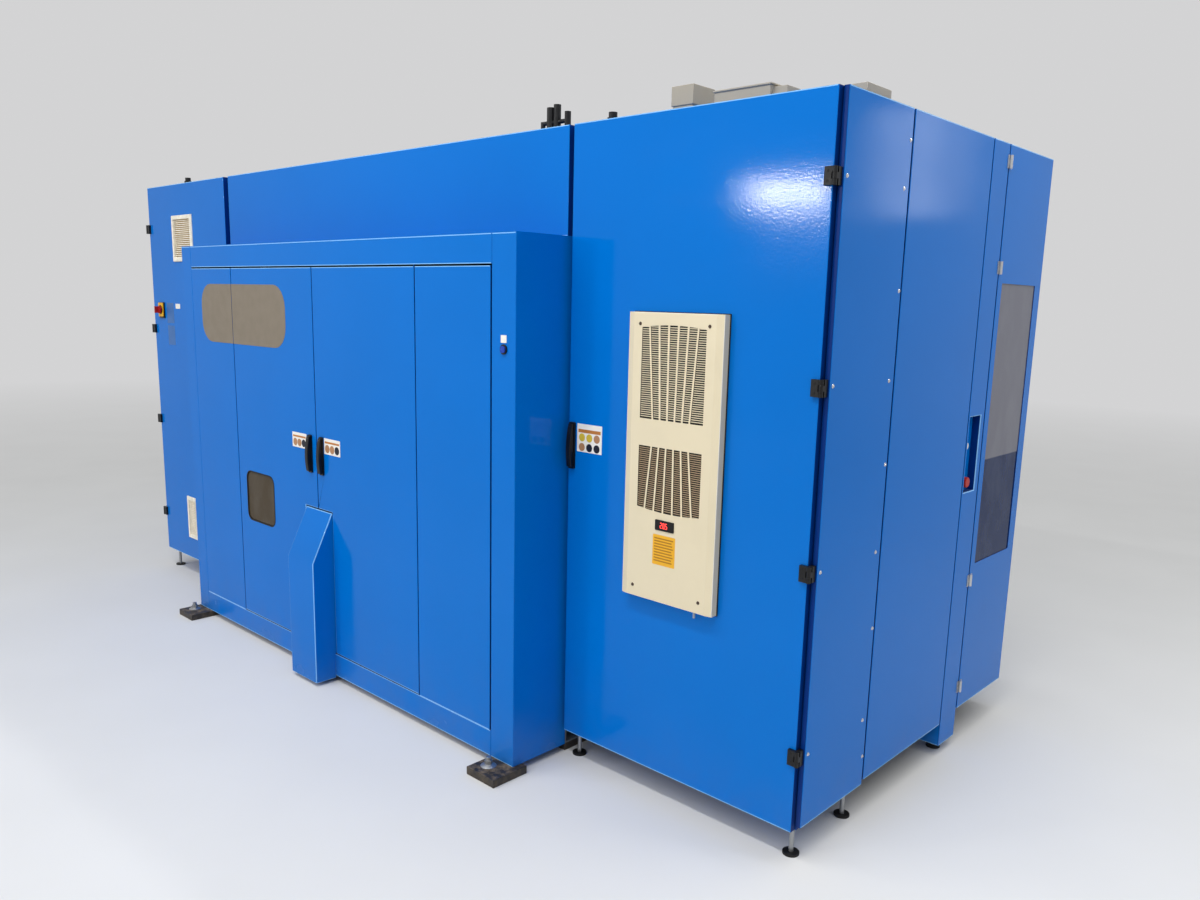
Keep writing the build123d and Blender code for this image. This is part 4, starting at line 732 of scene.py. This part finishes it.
class BENDER_OT_plain_forms(DressingOperator, bpy.types.Operator):
    """Round the edges of handles, hinges, boxes, plates and frames, and sort the devices' colours"""
    bl_idname = "bender.plain_forms"
    bl_label = "Rounded Hardware"

    widths = {
        "cabinet_hinges": 1.2, "left_leaf_lever": 1.8, "right_leaf_lever": 1.8, "left_door_lever": 1.8,
        "right_door_lever": 1.8, "foot_plates": 1.5, "roof_boxes": 1.5, "air_unit": 0.8,
        "main_switch_knob": 1.2, "press_frame": 3.0, "press_crown": 4.0, "blank_holder": 4.0,
        "bed_beam": 3.0, "blade_holder": 1.5, "work_table": 0.8, "manipulator_track": 0.8,
    }
    plate_depth, front_depth = 21 * MM, 55 * MM
    grid_left, module_step, row_step = -3.0, 0.11, 0.5

    def execute(self, context):
        for node, width in self.widths.items():
            finish = "box_beige" if node == "roof_boxes" else None
            formed_copy(node, width * MM, finish)
        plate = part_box("electrical_gear")[1].y - self.plate_depth
        formed_copy("electrical_gear", 0.6 * MM, "grey_plastic", 1, [
            ("galvanised", lambda face: face.calc_center_median().y > plate),
            ("black_plastic", lambda face: self.is_dark_module(face, plate)),
        ])
        disc_top = 8.5 * MM
        formed_copy(
            "levelling_feet", 0.6 * MM, "bare_steel", 1,
            [("rubber", lambda face: face.calc_center_median().z < disc_top)],
        )
        return self.done()

    def is_dark_module(self, face, plate):
        """Tells the fronts of every third device in a row, which are black."""
        middle = face.calc_center_median()
        column, row = int((middle.x - self.grid_left) / self.module_step), int(middle.z / self.row_step)
        return plate - middle.y > self.front_depth and column % 3 == row % 3


# Signs and plates on the service side

class BENDER_OT_service_signs(DressingOperator, bpy.types.Operator):
    """Fix the plain plates on the service side: the rounded plate, the small plates and the squares"""
    bl_idname = "bender.service_signs"
    bl_label = "Service Plates"

    def sign(self, body, low_x, high_x, low_z, high_z, face, rows):
        """A white plate with a thin band and rows of plain round marks."""
        name, sheet, border = body + "_sign", 0.8 * MM, 6 * MM
        width, height = high_x - low_x, high_z - low_z
        row_height = 0.69 * height / len(rows)
        film(name, "white_film", body, (low_x, face - sheet, low_z), (high_x, face, high_z))
        top = high_z - 0.19 * height
        foot = top - 0.12 * height
        band = bmesh.new()
        box_form(
            band, (low_x + border, face - 1.1 * MM, foot), (high_x - border, face - sheet, top), 0.1 * MM, 1,
        )
        finish_piece(band, name + "_band", "orange_band", body)
        for row, marks in enumerate(rows):
            z = foot - (row + 0.5) * row_height
            for column, finish in enumerate(marks):
                mark = bmesh.new()
                spot = (low_x + width * (0.2 + 0.3 * column), face - sheet, z)
                disc_form(mark, spot, min(0.42 * row_height, 0.14 * width), 0.4 * MM, SERVICE)
                finish_piece(mark, f"{name}_mark_{row}_{column}", finish, body)

    def execute(self, context):
        left_low, left_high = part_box("left_leaf")
        right_low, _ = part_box("right_leaf")
        bay_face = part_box("bay_top_rail")[0].y
        door_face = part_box("rear_wall")[0].y
        meeting = (left_high.x + right_low.x) / 2
        door_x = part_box("right_door")[0].x
        one_row = (("grey_mark", "grey_mark", "dark_mark"),)
        two_rows = (("yellow_mark", "yellow_mark", "grey_mark"), ("grey_mark", "dark_mark", "dark_mark"))
        for body, x, left, right, low_z, high_z, face, rows in (
            ("left_leaf", meeting, -0.202, -0.081, 1.034, 1.101, bay_face, one_row),
            ("right_leaf", meeting, 0.066, 0.192, 1.032, 1.101, bay_face, one_row),
            ("right_door", door_x, 0.043, 0.163, 1.184, 1.284, door_face, two_rows),
        ):
            self.sign(body, x + left, x + right, low_z, high_z, face, rows)
        self.rounded_plate(left_low.x - SEAM_HALF, bay_face)
        self.squares(bay_face, door_face)
        self.faint_films(door_face)
        return self.done()

    def faint_films(self, door_face):
        """Two blank see-through films beside the main switch."""
        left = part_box("main_switch_body")[1].x + 0.033
        front = door_face - 0.3 * MM
        for number, (low_z, high_z) in enumerate(((1.396, 1.508), (1.522, 1.640))):
            low, high = (left, front, low_z), (left + 0.094, door_face, high_z)
            film(f"faint_film_{number}", "faint_film", "left_door", low, high, 3 * MM)

    def rounded_plate(self, seam, bay_face):
        """The taupe plate, one rounded shape cut at the seam between fixed panel and leaf."""
        low = (seam - 0.320, bay_face - 0.8 * MM, 1.467)
        high = (seam + 0.503, bay_face, 1.748)
        for side, body, beyond in (("left", "machine", END), ("right", "left_leaf", -END)):
            bm = bmesh.new()
            plate_form(bm, low, high, SERVICE, 0.100)
            cut_away(bm, Vector((seam, 0, 0)) - beyond * SEAM_HALF, beyond)
            finish_piece(bm, "taupe_plate_" + side, "taupe_plate", body)

    def squares(self, bay_face, door_face):
        """Small plain squares on the bay's right stile and on the left door."""
        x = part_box("bay_corner_right")[1].x - 0.060
        low, high = (x - 0.0145, bay_face - 1.0 * MM, 1.564), (x + 0.0145, bay_face, 1.590)
        film("stile_square", "white_film", "machine", low, high)
        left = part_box("left_door")[0].x + 0.320
        low, high = (left, door_face - 1.0 * MM, 1.608), (left + 0.060, door_face, 1.636)
        film("left_door_square", "white_film", "left_door", low, high)


def cut_away(bm, point, beyond):
    """Cuts off everything beyond a plane and closes the cut."""
    cut = bmesh.ops.bisect_plane(
        bm, geom=bm.verts[:] + bm.edges[:] + bm.faces[:], plane_co=point, plane_no=beyond, clear_outer=True,
    )["geom_cut"]
    rim = [item for item in cut if isinstance(item, bmesh.types.BMEdge)]
    bmesh.ops.contextual_create(bm, geom=rim)


# Cooling unit

SEGMENTS = {"0": "abcdef", "2": "abged", "5": "afgcd"}
SEGMENT_SPOTS = {
    "a": (0, 1, True), "g": (0, 0, True), "d": (0, -1, True),
    "f": (0, 0.5, False), "b": (1, 0.5, False), "e": (0, -0.5, False), "c": (1, -0.5, False),
}


class BENDER_OT_cooling_unit(DressingOperator, bpy.types.Operator):
    """Finish the cooling unit: cover, a black band round it, screws, display digits and label"""
    bl_idname = "bender.cooling_unit"
    bl_label = "Cooling Unit"

    def execute(self, context):
        low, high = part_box("cooler_cover")
        face = low.y
        top = high.z
        self.cover(low, high)
        self.outline_band(low, high)
        self.screws(low.x, high.x, top, face)
        self.digits("20.5")
        self.label(low.x, top, face)
        return self.done()

    def cover(self, low, high):
        """The bevelled cover with rounded outer edges in a lighter cream as a painted highlight, slot walls
        in near-black as painted shade, and darker cream on the lower slats.
        """
        middle = (low + high) / 2
        reach = (high - low) / 2 - Vector((24 * MM, 0, 48 * MM))

        def in_slot(face):
            away = face.calc_center_median() - middle
            return abs(away.x) < reach.x and abs(away.z) < reach.z and abs(face.normal.y) < 0.5

        def is_lower_slat(face):
            spot = face.calc_center_median()
            sunk = low.y + 2 * MM < spot.y < low.y + 6 * MM
            return sunk and abs(spot.x - middle.x) < reach.x and spot.z < middle.z + 0.1

        def is_drain(face):
            return face.calc_center_median().z < low.z + 23 * MM and face.calc_area() < 3e-4

        others = (("drain_tube", is_drain), ("cooler_shade_black", in_slot), ("lower_slat_cream", is_lower_slat))
        bm = merged_copy("cooler_cover")
        sort_faces(bm, others)
        outline = [
            edge for edge in bm.edges
            if edge.calc_length() > OUTLINE_LENGTH and len(edge.link_faces) == 2
            and edge.calc_face_angle() > OUTLINE_ANGLE
        ]
        bmesh.ops.bevel(
            bm, geom=outline, offset=1.4 * MM, offset_type="OFFSET", affect="EDGES",
            segments=2, profile=0.5, material=len(others) + 1,
        )
        piece = finish_piece(bm, "cooler_cover_formed", "cream_paint", "right_door", False, 9.0)
        for finish in [name for name, _ in others] + ["cream_fold_glint"]:
            piece.data.materials.append(finishes[finish])
        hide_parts("cooler_cover")

    def outline_band(self, low, high):
        """A black band round the cover's outline, against the door."""
        lap = Vector((2.5 * MM, 0, 2.5 * MM))
        bm = bmesh.new()
        door_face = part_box("rear_wall")[0].y
        inner_low = Vector((low.x, door_face - 4 * MM, low.z + 24 * MM))
        frame_form(bm, inner_low - lap, Vector((high.x, door_face, high.z)) + lap, SERVICE, 2 * MM, 8 * MM)
        finish_piece(bm, "cooler_black_band", "rubber", "right_door")

    def screws(self, x0, x1, top, face):
        """Four recessed-head screws near the cover's corners."""
        bm = bmesh.new()
        for x in (x0 + 0.052, x1 - 0.051):
            for z in (top - 0.037, top - 0.913):
                disc_form(bm, (x, face, z), 6 * MM, 2.6 * MM, SERVICE, 1.6 * MM, 20)
                disc_form(bm, (x, face - 2.5 * MM, z), 2.6 * MM, 0.3 * MM, SERVICE, 0.0, 6)
        finish_piece(bm, "cooler_screws", "dark_screw", "right_door")

    def digits(self, text):
        """Seven-segment digits on the display."""
        low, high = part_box("cooler_display")
        pitch, height, bar = 11 * MM, 19 * MM, 2.2 * MM
        front, back = low.y - 0.3 * MM, low.y + 0.2 * MM
        middle_z = (low.z + high.z) / 2
        foot = middle_z - height / 2
        x = (low.x + high.x) / 2 - 1.6 * pitch
        bm = bmesh.new()
        for mark in text:
            if mark == ".":
                box_form(bm, (x - 2.4 * MM, front, foot), (x - 0.6 * MM, back, foot + bar))
                continue
            for segment in SEGMENTS[mark]:
                left, right, low_z, high_z = self.segment_sides(segment, pitch - 3 * MM, height, bar)
                box_form(bm, (x + left, front, middle_z + low_z), (x + right, back, middle_z + high_z))
            x += pitch
        finish_piece(bm, "cooler_digits", "digit_red", "right_door")

    def segment_sides(self, segment, width, height, bar):
        """The sides of one segment, from the digit's left side and middle."""
        side, level, flat = SEGMENT_SPOTS[segment]
        middle = level * (height - bar) / 2
        if flat:
            return bar / 2, width - bar / 2, middle - bar / 2, middle + bar / 2
        left = side * (width - bar)
        reach = (height - bar) / 4 - 0.3 * MM
        return left, left + bar, middle - reach, middle + reach

    def label(self, x0, top, face):
        """The yellow film with plain ruled bars."""
        left, right, low, high = x0 + 0.135, x0 + 0.229, top - 0.822, top - 0.720
        corners = (left, face - 0.4 * MM, low), (right, face, high)
        film("cooler_label", "yellow_film", "right_door", *corners, 3 * MM)
        front, back, half = face - 0.6 * MM, face - 0.3 * MM, 2.2 * MM
        rules = bmesh.new()
        for row in range(9):
            z = high - 12 * MM - row * 9.5 * MM
            end = right - (8 * MM, 14 * MM, 11 * MM)[row % 3]
            box_form(rules, (left + 6 * MM, front, z - half), (end, back, z + half), 0.1 * MM, 1)
        finish_piece(rules, "cooler_label_rules", "yellow_rule", "right_door")


# Small hardware

class BENDER_OT_hardware(DressingOperator, bpy.types.Operator):
    """Add panel screws, the window gasket, lock cylinders, hinge screws, switch details and vent mats"""
    bl_idname = "bender.hardware"
    bl_label = "Small Hardware"

    edge_heights = (0.363, 0.940, 1.490, 2.066)
    seam_heights = (0.227, 0.679, 1.224, 1.765, 2.207)

    def execute(self, context):
        sizes = context.scene.bender_sizes
        self.panel_screws(sizes.screw_radius)
        self.window_gasket()
        self.lock_cylinders()
        self.hinge_screws()
        self.switch_black_block()
        self.vent_mats()
        return self.done()

    def panel_screws(self, radius):
        """Button heads down both edges of the front end panel."""
        low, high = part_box("end_panel_front")
        bm = bmesh.new()
        for z in self.edge_heights:
            for y in (low.y + 0.017, high.y - 0.031):
                self.button_head(bm, (high.x, y, z), radius, END)
        for z in self.seam_heights:
            self.button_head(bm, (high.x, high.y - 0.012, z), radius, END)
        finish_piece(bm, "end_panel_screws", "bright_steel", "machine")

    def button_head(self, bm, point, radius, facing):
        """A domed head with a hexagon socket."""
        disc_form(bm, point, radius, radius * 0.45, facing, radius * 0.45, 20)
        tip = Vector(point) + facing * radius * 0.42
        disc_form(bm, tip, radius * 0.35, radius * 0.05, facing, 0.0, 6)

    def window_gasket(self):
        """The thin black rubber round the leaf's window."""
        low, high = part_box("leaf_window")
        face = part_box("bay_top_rail")[0].y
        lap = Vector((12 * MM, 0, 12 * MM))
        bm = bmesh.new()
        low_corner = Vector((low.x, face - 1.5 * MM, low.z)) + lap
        high_corner = Vector((high.x, face + 3 * MM, high.z)) - lap
        frame_form(bm, low_corner, high_corner, SERVICE, 41 * MM, 5.5 * MM)
        finish_piece(bm, "window_gasket", "rubber", "left_leaf")

    def lock_cylinders(self):
        """A round key lock near the top of each swing handle."""
        for node in ("left_leaf_lever", "right_leaf_lever", "left_door_lever", "right_door_lever"):
            low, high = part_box(node)
            bm = bmesh.new()
            point = Vector(((low.x + high.x) / 2, high.y - 6.4 * MM, high.z - 14 * MM))
            disc_form(bm, point, 7 * MM, 1.6 * MM, SERVICE, 0.6 * MM, 20)
            finish_piece(bm, node + "_lock", "bright_steel", body_of[node])

    def hinge_screws(self):
        """Two dark socket screws on the moving half of each cabinet hinge."""
        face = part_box("rear_wall")[0].y - 12 * MM
        for node in ("right_door", "left_door"):
            low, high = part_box(node)
            x = high.x - 27 * MM if node == "right_door" else low.x + 27 * MM
            bm = bmesh.new()
            for middle in HINGE_HEIGHTS:
                for step in (-14 * MM, 14 * MM):
                    disc_form(bm, (x, face, middle + step), 4 * MM, 0.8 * MM, SERVICE, 0.5 * MM, 16)
            finish_piece(bm, node + "_hinge_screws", "rubber", node)

    def switch_black_block(self):
        """A black block behind the main switch's plate, reaching further below and to the right, and the
        collar round its knob.
        """
        low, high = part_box("main_switch_body")
        door_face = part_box("rear_wall")[0].y
        bm = bmesh.new()
        box_form(
            bm, (low.x - 3 * MM, door_face - 7 * MM, low.z - 9 * MM),
            (high.x + 5 * MM, door_face, high.z + 3 * MM), 1.5 * MM,
        )
        finish_piece(bm, "main_switch_black_block", "black_plastic", "left_door")
        bm = bmesh.new()
        middle = Vector(((low.x + high.x) / 2, low.y, (low.z + high.z) / 2))
        ring_form(bm, middle, 26 * MM, 22 * MM, 3 * MM, SERVICE)
        finish_piece(bm, "main_switch_collar", "black_plastic", "left_door")

    def vent_mats(self):
        """The filter mats behind the blades of both vents."""
        low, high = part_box("door_vents")
        size, border = high.x - low.x, 22.5 * MM
        for number, base in enumerate((low.z, high.z - size)):
            bm = bmesh.new()
            box_form(
                bm, (low.x + border, low.y + 14 * MM, base + border),
                (high.x - border, low.y + 20 * MM, base + size - border), 1 * MM, 1,
            )
            finish_piece(bm, f"vent_mat_{number}", "vent_filter", "left_door")


# Studio

class BENDER_OT_studio(DressingOperator, bpy.types.Operator):
    """Lay the pale floor, place the soft lights and set the camera of the photograph"""
    bl_idname = "bender.studio"
    bl_label = "Studio"

    def execute(self, context):
        self.floor()
        self.lights()
        self.world(context.scene)
        self.camera(context.scene)
        context.scene.view_settings.view_transform = "Standard"
        return self.done()

    def floor(self):
        """A pale floor that keeps the shadow and fades to the air far away."""
        recipe = Recipe("pale_floor")
        place = recipe.place()
        tone = recipe.noise(place, 1.5, 3.0)
        pale = recipe.mix(tone.ramp(0.3, 0.7), screen_colour(224, 224, 223), screen_colour(221, 221, 220))
        sockets = {"Base Color": pale, "Roughness": 0.9, "Specular IOR Level": 0.1}
        floor = recipe.add("ShaderNodeBsdfPrincipled", None, sockets)
        air = recipe.add("ShaderNodeEmission", None, {"Color": (*SEEN_AIR, 1.0)})
        away = recipe.add("ShaderNodeVectorMath", {"operation": "LENGTH"}, {0: place}, out="Value")
        seen = recipe.seen_rays() * away.ramp(5.5, 16.0)
        recipe.add_output(recipe.add("ShaderNodeMixShader", None, {0: seen, 1: floor, 2: air}))
        bm = bmesh.new()
        bmesh.ops.create_grid(bm, x_segments=1, y_segments=1, size=60.0)
        mesh = bpy.data.meshes.new("studio_floor")
        bm.to_mesh(mesh)
        bm.free()
        mesh.materials.append(recipe.owner)
        ground = bpy.data.objects.new("studio_floor", mesh)
        bpy.context.scene.collection.objects.link(ground)

    def area_light(self, name, position, target, width, height, power):
        """A soft rectangular lamp that looks at a point."""
        data = bpy.data.lights.new(name, "AREA")
        data.shape = "RECTANGLE"
        data.size = width
        data.size_y = height
        data.energy = power
        lamp = bpy.data.objects.new(name, data)
        lamp.location = position
        lamp.rotation_mode = "QUATERNION"
        lamp.rotation_quaternion = (Vector(target) - Vector(position)).to_track_quat("-Z", "Y")
        bpy.context.scene.collection.objects.link(lamp)

    def lights(self):
        """A broad soft sun, two far lamps that glint in the coat, and two ceiling strips."""
        data = bpy.data.lights.new("soft_sun", "SUN")
        data.energy = 0.95
        data.angle = math.radians(50)
        data.color = (1.0, 0.985, 0.96)
        sun = bpy.data.objects.new("soft_sun", data)
        sun.rotation_mode = "QUATERNION"
        sun.rotation_quaternion = Vector((-0.14, 0.66, -0.74)).to_track_quat("-Z", "Y")
        bpy.context.scene.collection.objects.link(sun)
        self.area_light("door_glint", (-4.0, -10.73, 3.27), (2.14, -1.08, 2.02), 1.2, 0.26, 150)
        self.area_light("end_glint", (7.8, 10.6, 3.9), (2.3, -0.6, 2.1), 1.2, 1.6, 14)
        self.area_light("ceiling_strip_front", (1.1, -2.9, 4.4), (1.1, -2.6, 0.0), 4.8, 0.12, 84)
        self.area_light("ceiling_strip_end", (3.7, 0.2, 4.4), (3.5, 0.2, 0.0), 0.12, 4.0, 70)

    def world(self, scene):
        """An even pale surround that lights softly and is seen pale by the camera and in reflections."""
        world = bpy.data.worlds.new("studio_air")
        scene.world = world
        air = Recipe("studio_air", world)
        light = air.add("ShaderNodeBackground", None, {"Color": (0.96, 0.98, 1.0, 1.0), "Strength": 0.46})
        seen = air.add("ShaderNodeBackground", None, {"Color": (*SEEN_AIR, 1.0), "Strength": 1.0})
        mixed = air.add("ShaderNodeMixShader", None, {0: air.seen_rays(), 1: light, 2: seen})
        air.add_output(mixed, "ShaderNodeOutputWorld")

    def camera(self, scene):
        """The photograph's camera: its place beside the right corner, its turn, tilt, roll and lens."""
        yaw, pitch, roll = PHOTO_TURNS
        ahead = Vector((math.sin(yaw) * math.cos(pitch), math.cos(yaw) * math.cos(pitch), -math.sin(pitch)))
        level = Vector((math.cos(yaw), -math.sin(yaw), 0))
        above = level.cross(ahead)
        right = level * math.cos(roll) + above * math.sin(roll)
        upward = above * math.cos(roll) - level * math.sin(roll)
        data = bpy.data.cameras.new("photo_camera")
        data.sensor_width = 36.0
        data.lens = PHOTO_LENS
        data.shift_x, data.shift_y = PHOTO_SHIFT
        camera = bpy.data.objects.new("photo_camera", data)
        corner = Vector((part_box("right_cabinet_case")[1].x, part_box("rear_wall")[0].y, 0))
        turn = Matrix((right, upward, -ahead)).transposed().to_4x4()
        camera.matrix_world = Matrix.Translation(corner + PHOTO_PLACE) @ turn
        scene.collection.objects.link(camera)
        scene.camera = camera


class BENDER_PT_sidebar(bpy.types.Panel):
    """Lists the dressing steps and their values."""
    bl_idname = "BENDER_PT_sidebar"
    bl_label = "Panel Bender"
    bl_space_type = "VIEW_3D"
    bl_region_type = "UI"
    bl_category = "Bender"

    def draw(self, context):
        layout = self.layout
        scene = context.scene
        for group in (scene.bender_colours, scene.bender_sizes):
            for name in group.__annotations__:
                layout.prop(group, name)
        for step in STEPS:
            layout.operator(step.bl_idname)


STEPS = (
    BENDER_OT_finishes, BENDER_OT_panels, BENDER_OT_plain_forms, BENDER_OT_service_signs,
    BENDER_OT_cooling_unit, BENDER_OT_hardware, BENDER_OT_studio,
)
CLASSES = (HousingColours, HousingSizes, *STEPS, BENDER_PT_sidebar)


def register():
    for kind in CLASSES:
        bpy.utils.register_class(kind)
    bpy.types.Scene.bender_colours = PointerProperty(type=HousingColours)
    bpy.types.Scene.bender_sizes = PointerProperty(type=HousingSizes)


def unregister():
    del bpy.types.Scene.bender_sizes
    del bpy.types.Scene.bender_colours
    for kind in reversed(CLASSES):
        bpy.utils.unregister_class(kind)


def main():
    """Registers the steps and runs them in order."""
    register()
    for step in (
        bpy.ops.bender.finishes, bpy.ops.bender.panels, bpy.ops.bender.plain_forms,
        bpy.ops.bender.service_signs, bpy.ops.bender.cooling_unit, bpy.ops.bender.hardware,
        bpy.ops.bender.studio,
    ):
        step()


if __name__ == "__main__":
    main()
